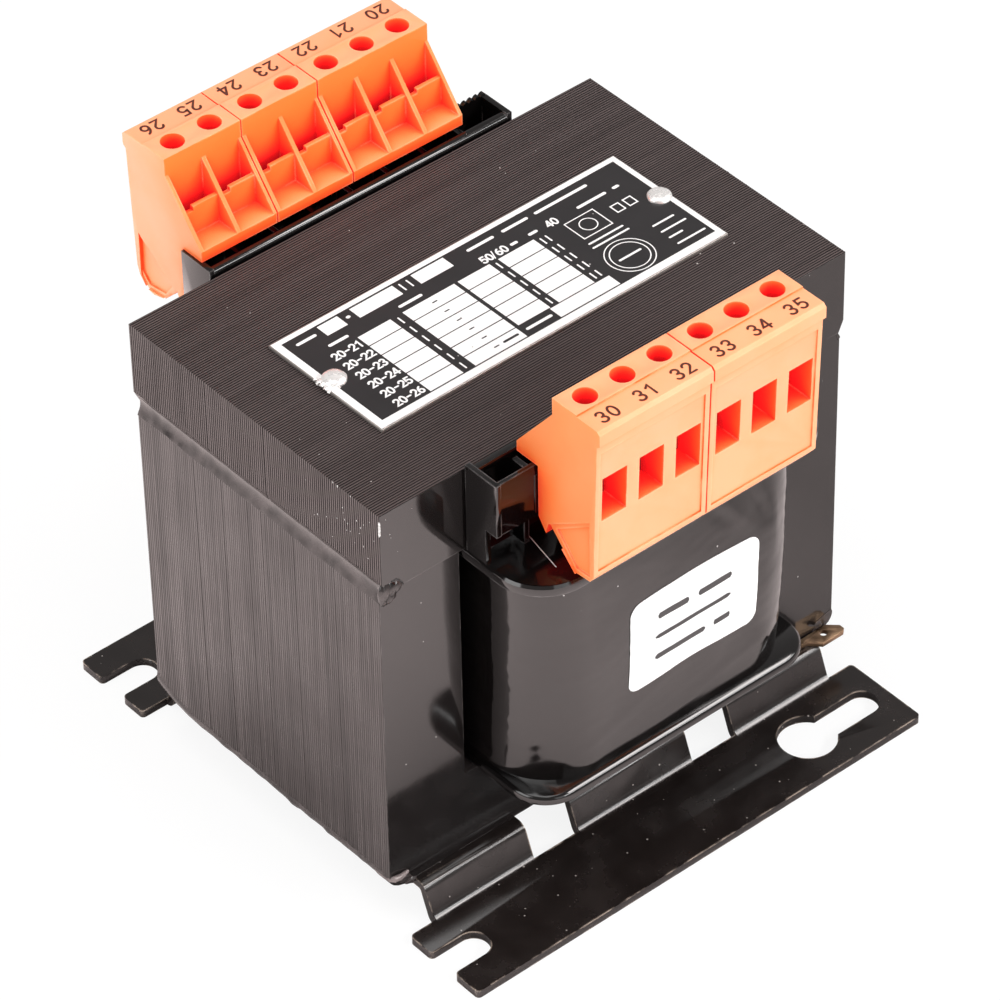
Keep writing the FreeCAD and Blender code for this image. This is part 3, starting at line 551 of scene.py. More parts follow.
def sheet_stack(name, right_outline, half_depth, count, material, node, recessed, drop):
    outline = right_outline + [(-x, z) for x, z in reversed(right_outline)]
    pitch = 2 * half_depth / count
    sheet = bmesh.new()
    front = sheet.faces.new([sheet.verts.new((x, 0.0, z)) for x, z in outline])
    grown = bmesh.ops.extrude_face_region(sheet, geom=[front])["geom"]
    bmesh.ops.translate(sheet, vec=(0, pitch, 0), verts=vertices_in(grown))
    rims = [edge for edge in sheet.edges if abs(edge.verts[0].co.y - edge.verts[1].co.y) < 1e-6]
    bevel(sheet, rims, 0.05, 1)
    face_outwards(sheet)
    first = sheet.verts[:] + sheet.edges[:] + sheet.faces[:]
    for index in range(count):
        y = -half_depth + index * pitch
        slip = Vector((shuffle.gauss(0, 0.004), y, drop * shuffle.uniform(0.0, 0.015)))
        if any(abs(y - spot) < pitch / 2 for spot in recessed):
            slip.x = 0.05
        copied = bmesh.ops.duplicate(sheet, geom=first)["geom"]
        verts = vertices_in(copied)
        bmesh.ops.translate(sheet, vec=slip, verts=verts)
        for vertex in verts:
            if 8.0 < vertex.co.z < 12.0:
                vertex.co.z += corner_rise(y)
    bmesh.ops.delete(sheet, geom=vertices_in(first), context="VERTS")
    for face in sheet.faces:
        face.material_index = 1 if abs(face.normal.y) > 0.99 else 0
    piece = place(sheet, name, material, [node], smooth_angle=20.0)
    piece.data.materials.append(FACE_PAINT)


window_floor = CORE_BOTTOM + LEG
window_side = CORE_HALF - LEG
e_outline = [
    (43.4, CORE_BOTTOM), (46.8, 8.5), (47.6, 9.1), (CORE_HALF, 10.2), (CORE_HALF, 69.6), (47.0, E_TOP),
    (window_side, E_TOP), (window_side, window_floor), (LEG, window_floor), (LEG, E_TOP),
]
i_outline = [(47.0, JOINT_HEIGHT), (CORE_HALF, 73.7), (CORE_HALF, CORE_TOP)]
sheet_stack(
    "core_sheets_lower", e_outline, E_HALF_DEPTH, LOWER_SHEETS, LOWER_PAINT, "core_e_stack",
    (15.2, 8.5, 7.9, 1.9, -1.4, -9.6, -19.2), 1,
)
sheet_stack(
    "core_sheets_upper", i_outline, I_HALF_DEPTH, UPPER_SHEETS, UPPER_PAINT, "core_i_stack",
    (11.0, -3.1), -1,
)


# Welds: a hollow run along each joint that laps over the sheets, and beads at the feet

def lump(shape, centre, sizes, roughness):
    made = bmesh.ops.create_icosphere(shape, subdivisions=3, radius=1.0)["verts"]
    for vertex in made:
        lift = 1.0 + roughness * noise.noise(vertex.co * 1.7 + Vector(centre))
        vertex.co = Vector([a * b for a, b in zip(vertex.co * lift, sizes)]) + Vector(centre)


RUN_HALF = E_HALF_DEPTH + 0.05


def weld_run(shape, sign, profile, inner, steps, spot):
    rows = []
    for step in range(steps + 1):
        y = RUN_HALF * (2 * step / steps - 1)
        row = [shape.verts.new(spot(index, x, y, z)) for index, (x, z) in enumerate(profile)]
        rows.append([*row, shape.verts.new((sign * inner[0], y, inner[1]))])
    skin(shape, rows)


def joint_run(sign):
    profile = (
        (48.02, 73.75), (47.8, 73.3), (47.52, 72.8), (47.4, 72.2), (47.38, 71.6),
        (47.45, 71.0), (47.66, 70.4), (47.92, 69.9), (48.1, 69.45), (47.6, 69.1),
    )
    def spot(index, x, y, z):
        low_share = index / (len(profile) - 1)
        sway = 0.5 * noise.noise(Vector((y * 0.11, 4.0 * sign, 0)))
        sway += 0.22 * noise.noise(Vector((y * 0.6, 9.0 * sign, 0)))
        swell = 0.05 * noise.noise(Vector((y * 0.5, z * 0.8, sign)))
        return sign * (x + swell), y, z + sway * low_share ** 2

    shape = bmesh.new()
    weld_run(shape, sign, profile, (46.8, E_TOP), 240, spot)
    face_outwards(shape)
    return shape


WELD_END = (
    (-47.2, 71.4, 1.2, 2.5), (-46.2, 71.6, 1.7, 1.9), (-45.1, 71.7, 1.3, 1.4), (-46.4, 70.4, 1.4, 1.3),
)
for side, sign in (("right", 1), ("left", -1)):
    bead = joint_run(sign)
    if sign < 0:
        for x, z, wide, tall in WELD_END:
            lump(bead, (x, -30.2, z), (wide, 0.95, tall), 0.25)
    place(bead, "joint_bead_" + side, WELD_METAL, ["joint_weld_" + side], 60.0)

CRACK_PATH = (
    (-45.9, 73.3), (-45.2, 73.35), (-44.5, 72.8), (-43.9, 71.9), (-43.7, 71.2), (-43.9, 70.5),
    (-44.4, 69.9), (-45.1, 69.3), (-45.9, 68.8),
)
CRACK_TAIL = ((-48.0, 69.4), (-47.5, 69.0), (-46.9, 68.9))
crack = bmesh.new()
for path in (CRACK_PATH, CRACK_TAIL):
    for (x0, z0), (x1, z1) in zip(path, path[1:]):
        for step in range(4):
            high = z0 + (z1 - z0) * step / 4
            spot = (x0 + (x1 - x0) * step / 4, -30.74 if high > 71.5 else -29.98, high)
            lump(crack, spot, (shuffle.uniform(0.08, 0.2), 0.06, shuffle.uniform(0.1, 0.22)), 0.5)
place(crack, "weld_crack", CRACK_SHADOW)


# White chips where the paint has gone near the front corner, and a scratch on the flange

CHIPS = (
    (-19.8, 87.4, 0.14), (-20.9, 87.3, 0.18), (-24.0, 87.3, 0.14), (-21.9, 83.7, 0.16),
    (-22.1, 82.8, 0.1),
    (-15.6, 78.3, 0.13), (-14.8, 77.6, 0.1), (-26.1, 82.4, 0.16), (-25.8, 81.0, 0.12), (-26.9, 83.5, 0.11),
    (-23.0, 81.2, 0.17), (-22.7, 79.7, 0.1), (-22.3, 81.5, 0.12), (-19.1, 76.0, 0.12), (-26.7, 79.0, 0.12),
    (-17.8, 79.2, 0.09), (-13.0, 83.5, 0.09), (-23.6, 80.0, 0.1), (-25.2, 83.2, 0.12), (-28.4, 85.0, 0.11),
    (-29.3, 81.8, 0.1), (-24.6, 78.4, 0.09), (-20.4, 80.6, 0.09), (-27.7, 77.2, 0.1),
)
chips = bmesh.new()
for y, z, size in CHIPS:
    lump(chips, (-47.98, y, z), (0.05, size * 0.62, size * shuffle.uniform(0.6, 1.5)), 0.9)
for z in (83.9, 84.6, 85.3, 86.0):
    lump(chips, (-47.9, -30.6, z), (0.16, 0.16, 0.55), 0.6)
for x, z, size in ((-46.0, 82.9, 0.13), (-46.7, 86.2, 0.1), (-45.8, 82.1, 0.1), (-44.6, 78.6, 0.09)):
    lump(chips, (x, -30.68, z), (size * 0.55, 0.04, size * 0.7), 0.6)
for step in range(25):
    along = step / 24
    spot = (-21.8 - 1.8 * along, -33.7 - 9.2 * along, 71.3)
    lump(chips, spot, (0.07, 0.22, 0.04), 0.5)
place(chips, "paint_chips", PAINT_CHIPS)


DRIPS = ((0.5, 5.0, 1.4), (0.3, 14.0, 1.0))


def foot_run(shape, sign):
    profile = (
        (47.9, 10.9), (48.1, 10.3), (48.08, 9.8), (47.85, 9.2), (47.3, 8.5), (46.4, 7.9),
        (45.0, 7.4), (43.6, 7.1), (43.2, 7.6),
    )
    def spot(index, x, y, z):
        low_share = min(1.0, index / 4)
        swell = 0.22 * noise.noise(Vector((y * 0.35, z * 0.3, 5.0 * sign)))
        swell += sum(tall * math.exp(-(((y + back) / wide) ** 2)) for tall, back, wide in DRIPS)
        swell *= low_share
        edge = 0.16 * noise.noise(Vector((y * 0.9, 3.0 * sign, 0))) * (1 - low_share)
        rise = corner_rise(y) * (1 - index / 8)
        return sign * min(48.15, x + 0.3 * swell), y, z + edge - swell + rise

    weld_run(shape, sign, profile, (44.5, 10.0), 200, spot)


foot_beads = bmesh.new()
for sign_x in (-1, 1):
    foot_run(foot_beads, sign_x)
    for x, z, wide, tall in ((45.0, 8.9, 1.2, 1.0), (43.6, 7.4, 1.3, 0.8)):
        for sign_y in (-1, 1):
            lump(foot_beads, (sign_x * x, sign_y * 29.5, z), (wide, 0.7, tall), 0.3)
face_outwards(foot_beads)
place(foot_beads, "foot_beads", WELD_METAL, ["foot_welds"], 60.0)

TAIL = (
    (-47.85, -26.4, 9.8, 0.3), (-47.85, -27.4, 9.7, 0.4), (-47.8, -28.6, 9.8, 0.45),
    (-47.7, -29.8, 10.1, 0.5), (-47.3, -30.3, 10.2, 0.55), (-46.5, -30.4, 10.15, 0.55),
    (-45.5, -30.3, 10.15, 0.42), (-44.4, -30.1, 10.1, 0.28),
)
tail = bmesh.new()
for (x0, y0, z0, r0), (x1, y1, z1, r1) in zip(TAIL, TAIL[1:]):
    for step in range(5):
        t = step / 5
        thick = r0 + (r1 - r0) * t
        spot = (max(-48.2 + thick, x0 + (x1 - x0) * t), y0 + (y1 - y0) * t, z0 + (z1 - z0) * t)
        lump(tail, spot, (thick, thick, thick), 0.12)
place(tail, "foot_bead_tail", WELD_TAIL_LIGHTENED)


# Feet, bobbin, blocks and small metal parts with eased edges

def along_the_joggle(edge):
    first, second = (vertex.co for vertex in edge.verts)
    return abs(first.y - second.y) < 0.02 and abs(first.z - second.z) < 0.02 and 31.0 < abs(first.y) < 40.0


def low_rim(edge):
    return all(abs(vertex.co.z - WRAP_LOW) < 0.03 and abs(vertex.co.y) > 35.0 for vertex in edge.verts)


for foot in ("front_foot", "back_foot"):
    bent = ease_edges(solid_from(foot), 1.0, 20.0, 5, along_the_joggle)
    place(ease_edges(bent, 0.25, 40.0, 3), foot + "_sheet", FOOT_ENAMEL, [foot])

TOE = 34.6
SLOPE_RUN = 2.3
SHEET = 1.5
JOGGLE_HALF = 43.0
WINDOW_NEAR = 12.5
WINDOW_FAR = 21.9


def bend_fillet(shape, x0, x1, sign, reach=1.25):
    slope = Vector((SLOPE_RUN, CORE_BOTTOM - SHEET)).normalized() * reach
    first, corner, last = Vector((-reach, 0)), Vector((0, 0)), slope
    profile = [corner + Vector((0.06, -0.06))]
    for step in range(9):
        t = step / 8
        profile.append(first * (1 - t) ** 2 + corner * 2 * t * (1 - t) + last * t * t)
    rows = [[shape.verts.new((x, sign * (TOE - p.x), SHEET + p.y)) for p in profile] for x in (x0, x1)]
    skin(shape, rows)


bends = bmesh.new()
for sign in (-1, 1):
    for x0, x1 in ((-JOGGLE_HALF, -WINDOW_FAR), (-WINDOW_NEAR, WINDOW_NEAR), (WINDOW_FAR, JOGGLE_HALF)):
        bend_fillet(bends, x0 + 0.15, x1 - 0.15, sign)
face_outwards(bends)
place(bends, "foot_bends", BEND_ENAMEL, (), 40.0)
moulding = ease_edges(solid_from("bobbin"), 0.55, 60.0, 1, low_rim)
moulding = ease_edges(moulding, 0.22, 50.0, 2)
place(moulding, "bobbin_moulding", BOBBIN_PLASTIC, ["bobbin"], 50.0)
for side in ("front_left", "front_right", "back_left", "back_middle", "back_right"):
    name = "terminal_" + side
    orange = ORANGE_SHADED_ENDS if side.startswith("front") else ORANGE_SHADED_FACES
    shell = solid_from(name)
    across = [vertex.co.x for vertex in shell.verts]
    middle = (min(across) + max(across)) / 2
    for vertex in shell.verts:
        vertex.co.x = middle + (vertex.co.x - middle) * 0.992
    place(ease_edges(shell, 0.18), name + "_block", orange, [name])
eased_node("clamp_cages", "clamp_cages_bent", 0.12, CLAMP_STEEL)
eased_node("earth_tab", "earth_tab_sheet", 0.15, TAB_BRONZE)


# Taped coil, with the folds of the tape

COIL_HALF_X = 28.9
COIL_REACH = 46.3
COIL_CORNER = 12.8
BELLY = 1.8
BELLY_AT = 0.65
FLARE_FROM = 69.0
FLARE_OUT = 2.95
FLARE_REACH = 47.95
FLARE_TIGHTER = 3.6


def coil_outline(share, half_x, half_y, corner):
    straight_x = half_x - corner
    straight_y = half_y - corner
    arc = math.pi / 2 * corner
    runs = [straight_x, arc, 2 * straight_y, arc, 2 * straight_x, arc, 2 * straight_y, arc, straight_x]
    total = sum(runs)
    distance = (share % 1.0) * total
    corners = [
        (straight_x, -straight_y, -90), (straight_x, straight_y, 0),
        (-straight_x, straight_y, 90), (-straight_x, -straight_y, 180),
    ]
    starts = [
        (0.0, -half_y, 1, 0), (half_x, -straight_y, 0, 1), (straight_x, half_y, -1, 0),
        (-half_x, straight_y, 0, -1), (-straight_x, -half_y, 1, 0),
    ]
    for index, run in enumerate(runs):
        if distance <= run or index == len(runs) - 1:
            break
        distance -= run
    if index % 2:
        x, y, start = corners[index // 2]
        angle = math.radians(start) + distance / corner
        outward = Vector((math.cos(angle), math.sin(angle), 0))
        return Vector((x, y, 0)) + outward * corner, outward
    x, y, run_x, run_y = starts[index // 2]
    return Vector((x + run_x * distance, y + run_y * distance, 0)), Vector((run_y, -run_x, 0))


FOLDS = (
    ((8.0, 69.0), (13.5, 60.5), 0.35, 1.3),
    ((13.0, 69.5), (17.5, 59.0), -0.4, 1.0),
    ((4.0, 69.5), (9.5, 63.5), -0.3, 0.9),
    ((18.5, 66.5), (20.0, 50.0), 0.3, 1.4),
    ((-22.0, 30.0), (-3.0, 38.0), 0.18, 1.6),
    ((-4.0, 27.0), (16.0, 33.0), 0.22, 1.4),
    ((16.0, 36.0), (22.0, 28.0), 0.25, 1.5),
)


def fold_height(x, z):
    lift = 0.0
    for (x0, z0), (x1, z1), height, width in FOLDS:
        run = Vector((x1 - x0, z1 - z0))
        part_way = max(0.0, min(1.0, ((x - x0) * run.x + (z - z0) * run.y) / run.length_squared))
        away = math.hypot(x - x0 - run.x * part_way, z - z0 - run.y * part_way)
        lift += height * math.exp(-((away / width) ** 2)) * math.sin(math.pi * (0.12 + 0.76 * part_way))
    return lift


def coil_surface(share, part_way, proud=0.0):
    reach = COIL_REACH - BELLY / BELLY_AT ** 2 * (part_way - BELLY_AT) ** 2
    height = WRAP_LOW + (WRAP_HIGH - WRAP_LOW) * part_way
    flare = max(0.0, (height - FLARE_FROM) / (WRAP_HIGH - FLARE_FROM))
    flare = flare * flare * (3 - 2 * flare)
    spot, outward = coil_outline(
        share, COIL_HALF_X + FLARE_OUT * flare, reach + (FLARE_REACH - reach) * flare,
        COIL_CORNER - FLARE_TIGHTER * flare,
    )
    spot.z = height
    ease = min(1.0, 6 * part_way, 6 * (1 - part_way))
    ripple = 0.16 * noise.noise(spot * 0.11) + 0.05 * noise.noise(Vector((spot.x, spot.y, spot.z * 2)) * 0.35)
    fold = fold_height(spot.x, spot.z) if spot.y < 0 else fold_height(-spot.x + 3.0, spot.z)
    front = max(0.0, min(1.0, (abs(spot.y) - 36.0) / 6.0))
    return spot + outward * (proud - 0.12 + (ripple + fold * front) * ease)


def grid_shape(columns, rows, surface):
    shape = bmesh.new()
    bmesh.ops.create_grid(shape, x_segments=columns, y_segments=rows, size=0.5)
    for vertex in shape.verts:
        vertex.co = surface(vertex.co.x + 0.5, vertex.co.y + 0.5)
    return shape


tape = grid_shape(260, 72, coil_surface)
bmesh.ops.remove_doubles(tape, verts=tape.verts, dist=0.01)
thicken(tape, 0.6)
place(tape, "coil_tape", WRAP_TAPE, ["outer_wrap"], 50.0)


# Label stuck to the tape, with plain bars

TAPE_ROUND = 4 * (COIL_HALF_X + 46.0 - 2 * COIL_CORNER) + 2 * math.pi * COIL_CORNER
LABEL_X = 2.2
LABEL_Z = 48.3
LABEL_HALF_X = 13.5
LABEL_HALF_Z = 9.4
LABEL_CORNER = 2.2


def on_the_tape(x, z, proud):
    return coil_surface(x / TAPE_ROUND, (z - WRAP_LOW) / (WRAP_HIGH - WRAP_LOW), proud)


def label_surface(across, up):
    x = (across - 0.5) * 2 * LABEL_HALF_X
    z = (up - 0.5) * 2 * LABEL_HALF_Z
    inner_x = LABEL_HALF_X - LABEL_CORNER
    inner_z = LABEL_HALF_Z - LABEL_CORNER
    if abs(x) > inner_x and abs(z) > inner_z:
        dx, dz = abs(x) - inner_x, abs(z) - inner_z
        square = max(dx, dz)
        length = math.hypot(dx, dz)
        x = math.copysign(inner_x + dx * square / length, x)
        z = math.copysign(inner_z + dz * square / length, z)
    x += LABEL_X
    z += LABEL_Z + 0.35 * math.sin(x * 0.21 + 1.0)
    return on_the_tape(x, z, 0.14)


paper = grid_shape(56, 40, label_surface)
thicken(paper, 0.1)
place(paper, "plain_label", LABEL_PAPER, ["test_label"], 50.0)

LABEL_BARS = (
    (-5.4, 0.9, 52.3, 1.25), (2.9, 9.9, 52.3, 1.25), (-6.0, 9.8, 48.1, 0.85), (-6.0, 4.6, 43.8, 1.1),
    (6.4, 9.8, 43.8, 1.1),
)
bars = bmesh.new()
for x0, x1, z, tall in LABEL_BARS:
    rows = []
    for step in range(25):
        x = x0 + (x1 - x0) * step / 24
        past = max(0.0, abs(step / 12 - 1) - 0.92) / 0.08
        half = tall / 2 * max(0.35, math.sqrt(max(0.0, 1 - past ** 2)))
        rows.append([bars.verts.new(on_the_tape(x, z + rise, 0.19)) for rise in (-half, 0, half)])
    for near, far in zip(rows, rows[1:]):
        for index in (0, 1):
            bars.faces.new((near[index], far[index], far[index + 1], near[index + 1]))
place(bars, "label_bars", LABEL_INK, (), 50.0)


# Clamp screws with a slot across each head

def pole_centres(start, pole_counts):
    centres = []
    for count in pole_counts:
        centres += [start + PITCH * (index + 0.5) for index in range(count)]
        start += count * PITCH + BLOCK_EXTRA
    return centres


front_centres = pole_centres(-23.1, (3, 3))
back_centres = pole_centres(-30.6, (2, 2, 3))
SCREW_Y = 45.1
SCREW_RADIUS = 1.7
SLOT_HALF = 0.28
SLOT_FLOOR = 95.1
SCREW_TOP = 95.8


def half_head(shape, radius, gap, low, high, turn, centre):
    limit = math.acos(gap / radius)
    corners = [(radius * math.cos(a), radius * math.sin(a)) for a in
               (-limit + 2 * limit * step / 16 for step in range(17))]
    base = [shape.verts.new((x, y, low)) for x, y in corners]
    face = shape.faces.new(base)
    grown = bmesh.ops.extrude_face_region(shape, geom=[face])["geom"]
    top = vertices_in(grown)
    bmesh.ops.translate(shape, vec=(0, 0, high - low), verts=top)
    bmesh.ops.rotate(shape, cent=(0, 0, 0), matrix=Matrix.Rotation(turn, 3, "Z"), verts=base + top)
    bmesh.ops.translate(shape, vec=centre, verts=base + top)


screws = bmesh.new()
screw_spots = [(x, -SCREW_Y) for x in front_centres] + [(x, SCREW_Y) for x in back_centres]
for x, y in screw_spots:
    turn = shuffle.uniform(0, math.pi)
    made = bmesh.ops.create_cone(
        screws, cap_ends=True, segments=32, radius1=SCREW_RADIUS, radius2=SCREW_RADIUS, depth=1.5
    )["verts"]
    bmesh.ops.translate(screws, vec=(x, y, SLOT_FLOOR - 0.75), verts=made)
    for angle in (turn, turn + math.pi):
        half_head(screws, SCREW_RADIUS, SLOT_HALF, SLOT_FLOOR, SCREW_TOP, angle, (x, y, 0))
face_outwards(screws)
place(screws, "clamp_screws_slotted", CLAMP_STEEL, ["clamp_screws"])


# Terminal numbers printed on the outer strip of each row

def arc(centre_x, centre_y, radius_x, radius_y, first, last, steps=14):
    angles = [math.radians(first + (last - first) * step / steps) for step in range(steps + 1)]
    return [(centre_x + radius_x * math.cos(a), centre_y + radius_y * math.sin(a)) for a in angles]


DIGITS = {
    "-": [[(0.13, 0.5), (0.49, 0.5)]],
    "0": [arc(0.31, 0.5, 0.24, 0.43, 0, 360, 28)],
    "1": [[(0.14, 0.74), (0.38, 0.93), (0.38, 0.07)]],
    "2": [arc(0.31, 0.69, 0.23, 0.24, 170, -42) + [(0.08, 0.07), (0.56, 0.07)]],
    "3": [arc(0.3, 0.71, 0.21, 0.22, 155, -85), arc(0.29, 0.28, 0.24, 0.22, 88, -155)],
    "4": [[(0.44, 0.07), (0.44, 0.93)], [(0.42, 0.93), (0.05, 0.3), (0.6, 0.3)]],
    "5": [[(0.53, 0.93), (0.15, 0.93), (0.11, 0.53)] + arc(0.3, 0.33, 0.25, 0.26, 125, -150)],
    "6": [arc(0.31, 0.31, 0.23, 0.24, 0, 360, 24), arc(0.6, 0.34, 0.52, 0.6, 178, 112, 8)],
}


def pen_stroke(shape, path, width, high, centre=(0, 0), turn=0.0):
    matrix = Matrix.Rotation(turn, 2)
    spots = [matrix @ Vector(spot) + Vector(centre) for spot in path]
    closed = (spots[0] - spots[-1]).length < 1e-4
    if closed:
        spots.pop()
    count = len(spots)
    rows = []
    for index, spot in enumerate(spots):
        before = spots[index - 1] if closed or index else None
        after = spots[(index + 1) % count] if closed or index < count - 1 else None
        comes = (spot - before).normalized() if before else (after - spot).normalized()
        goes = (after - spot).normalized() if after else comes
        along = (comes + goes).normalized()
        half = width / 2 / max(0.55, along.dot(comes))
        side = Vector((-along.y, along.x)) * half
        rows.append([shape.verts.new((*(spot + share * side), high)) for share in (1, -1)])
    for near, far in zip(rows, rows[1:] + rows[:1] if closed else rows[1:]):
        shape.faces.new((near[1], far[1], far[0], near[0]))
    if closed:
        return
    for (first, last), spot, inner in (
        (rows[0][::-1], spots[0], spots[1]), (rows[-1], spots[-1], spots[-2]),
    ):
        away = (spot - inner).normalized()
        side = Vector((-away.y, away.x)) * width / 2
        tip = [spot + side * math.cos(a) + away * width / 2 * math.sin(a) for a in
               (math.pi * step / 6 for step in range(1, 6))]
        shape.faces.new([last] + [shape.verts.new((*point, high)) for point in reversed(tip)] + [first])


def write_number(shape, text, centre, height, pen, high, turn=0.0, spread=0.79):
    for index, letter in enumerate(text):
        left = ((index - len(text) / 2) * spread + 0.08) * height
        for layer, path in enumerate(DIGITS[letter]):
            placed = [(left + x * height, (y - 0.5) * height) for x, y in path]
            pen_stroke(shape, placed, pen, high + 0.006 * layer, centre, turn)


for name, first, step, centres, y in (
    ("front_numbers", 30, 1, front_centres, -50.3),
    ("back_numbers", 26, -1, back_centres, 50.3),
):
    ink = bmesh.new()
    for index, x in enumerate(centres):
        turn = math.pi if y > 0 else 0.0
        write_number(ink, str(first + step * index), (x, y), 2.75, 0.4, STRIP_TOP + 0.03, turn)
    place(ink, name, NUMBER_INK)


# Rating plate: metal foil, black field, white frame and white blank fields

PLATE_X, PLATE_Y = 0.7, -2.0
PLATE_TURN = math.radians(0.5)
PLATE_TOP = 88.1
FIELD_TOP = PLATE_TOP + 0.02
INK_TOP = PLATE_TOP + 0.045


def turn_plate(shape, centre):
    matrix = Matrix.Rotation(PLATE_TURN, 3, "Z")
    bmesh.ops.rotate(shape, cent=centre, matrix=matrix, verts=shape.verts)


def plate_print(name, areas, base, thickness, material):
    shape = bmesh.new()
    for u0, v0, u1, v1 in areas:
        block(shape, (u0, v0, base), (u1, v1, base + thickness))
    turn_plate(shape, (0, 0, 0))
    bmesh.ops.translate(shape, vec=(PLATE_X, PLATE_Y, 0), verts=shape.verts)
    place(shape, name, material)


def plate_line(shape, path, width):
    pen_stroke(shape, path, width, INK_TOP, (PLATE_X, PLATE_Y), PLATE_TURN)


def plate_frame(shape, u0, v0, u1, v1, width):
    plate_line(shape, [(u0, v0), (u1, v0), (u1, v1), (u0, v1), (u0, v0)], width)


def plate_number(shape, text, u, v, height):
    across = Matrix.Rotation(PLATE_TURN, 2) @ Vector((u, v))
    centre = (PLATE_X + across.x, PLATE_Y + across.y)
    write_number(shape, text, centre, height, 0.2 * height, INK_TOP, PLATE_TURN, 0.67)


foil = solid_from("rating_plate")
turn_plate(foil, (PLATE_X, PLATE_Y, 0))
place(ease_edges(foil, 0.1), "plate_foil_sheet", PLATE_EDGE, ["rating_plate"])
plate_print("plate_field", [(-34.6, -12.2, 34.9, 12.6)], PLATE_TOP, 0.02, PLATE_BLACK)
frame_strips = [
    (-35.8, 12.45, 35.8, 13.45), (-35.8, -13.45, 35.8, -11.95),
    (-35.8, -11.95, -34.45, 12.45), (34.85, -11.95, 35.8, 12.45),
]
plate_print("plate_frame", frame_strips, PLATE_TOP, 0.04, PLATE_WHITE)

fields = [(-27.6, 9.3, -23.5, 12.05), (-21.0, 9.3, -12.2, 12.05), (-8.4, 9.3, -1.7, 12.05)]
white_ink = bmesh.new()
dark_ink = bmesh.new()
FIELDS_TOP = 5.85
ROW_PITCH = 2.96
FIELD_HEIGHT = 2.72
for row in range(6):
    high = FIELDS_TOP - row * ROW_PITCH
    low = high - FIELD_HEIGHT
    middle = (high + low) / 2
    fields += [(-24.45, low, -17.8, high), (-15.3, low, -4.65, high)]
    plate_number(white_ink, "20-2" + str(row + 1), -27.8, middle, 1.75)
    plate_line(white_ink, [(-16.7, middle - 0.75), (-16.7, middle + 0.75)], 0.3)
    plate_line(dark_ink, [(-10.2, middle), (-9.4, middle)], 0.28)
    if row < 5:
        fields += [(-3.9, low, 2.7, high), (4.55, low, 12.0, high)]
        for u in (3.65, 12.9, 14.0):
            plate_line(white_ink, [(u, middle - 0.75), (u, middle + 0.75)], 0.3)
    else:
        fields.append((2.4, low, 14.8, high))
        plate_line(white_ink, [(-3.4, middle), (1.4, middle)], 0.6)
        plate_line(dark_ink, [(-8.2, middle), (-5.5, middle)], 0.5)
plate_print("plate_fields", fields, FIELD_TOP, 0.02, PLATE_WHITE)

HEADER_BARS = (
    (-32.8, -28.8, 10.7), (-22.7, -21.9, 10.7), (2.2, 7.8, 10.7), (9.5, 15.0, 10.7), (16.4, 27.6, 10.7),
    (-29.2, -25.2, 7.2), (-14.9, -10.1, 7.2), (8.3, 9.8, 7.2), (12.1, 14.0, 7.2), (22.4, 28.6, 7.2),
    (30.0, 31.4, 7.2),
)
for u0, u1, v in HEADER_BARS:
    plate_line(white_ink, [(u0 + 0.3, v), (u1 - 0.3, v)], 0.62)
for u in (-11.2, -9.7):
    plate_line(white_ink, [(u, 9.8), (u, 11.5)], 0.3)
plate_number(white_ink, "50", 3.2, 7.2, 1.75)
plate_line(white_ink, [(4.4, 6.3), (5.0, 8.1)], 0.22)
plate_number(white_ink, "60", 6.3, 7.2, 1.75)
plate_number(white_ink, "40", 16.9, 7.2, 1.75)
plate_frame(white_ink, 18.1, 0.5, 24.1, 5.4, 0.22)
plate_line(white_ink, arc(21.1, 2.95, 1.5, 1.5, 0, 360, 24), 0.2)
for radius in (3.3, 4.15):
    plate_line(white_ink, arc(20.75, -7.35, radius, radius, 0, 360, 40), 0.2)
plate_line(white_ink, [(18.6, -7.35), (22.9, -7.35)], 0.45)
for u in (26.6, 29.2):
    plate_frame(white_ink, u, 2.0, u + 1.6, 3.9, 0.26)
SMALL_BARS = (
    (17.6, 25.0, -1.0), (17.4, 25.2, -2.2), (28.2, 32.8, -4.4), (28.2, 33.6, -6.4), (28.2, 31.2, -8.3),
    (28.2, 34.2, -10.3),
)
for u0, u1, v in SMALL_BARS:
    plate_line(white_ink, [(u0 + 0.2, v), (u1 - 0.2, v)], 0.4)
place(white_ink, "plate_marks_white", PLATE_WHITE)
place(dark_ink, "plate_marks_dark", PLATE_BLACK)


# Hammered rivet heads

BURR = (
    (-34.6, -2.4, 0.75), (-35.0, -1.6, 0.6), (-34.9, -0.6, 0.5), (-35.3, -2.8, 0.45), (-34.3, -3.2, 0.5),
    (-35.2, 0.1, 0.3), (-35.5, -3.6, 0.28), (-33.6, -3.8, 0.3), (-35.6, -0.9, 0.24),
)
HEAD_RADIUS = 2.08
HEAD_HEIGHT = 1.05
HAMMERED = 0.75
heads = bmesh.new()
for x, y in ((-32.9, -1.7), (35.0, -1.0)):
    dome = bmesh.ops.create_uvsphere(heads, u_segments=40, v_segments=24, radius=1.0)["verts"]
    for vertex in dome:
        lift = 1.0 + 0.05 * noise.noise(vertex.co * 1.6 + Vector((x, y, 0)))
        vertex.co = vertex.co * lift * Vector((HEAD_RADIUS, HEAD_RADIUS, HEAD_HEIGHT))
        vertex.co.z = max(vertex.co.z, -0.02)
        if vertex.co.z > HAMMERED:
            vertex.co.z = HAMMERED + (vertex.co.z - HAMMERED) * 0.45
        vertex.co += Vector((x, y, PLATE_TOP + 0.02))
for x, y, size in BURR:
    lump(heads, (x, y, PLATE_TOP + 0.05), (size, size * 0.8, 0.22), 0.9)
place(heads, "rivet_heads", RIVET_METAL, ["plate_rivets"], 60.0)


# Hidden windings keep their solids

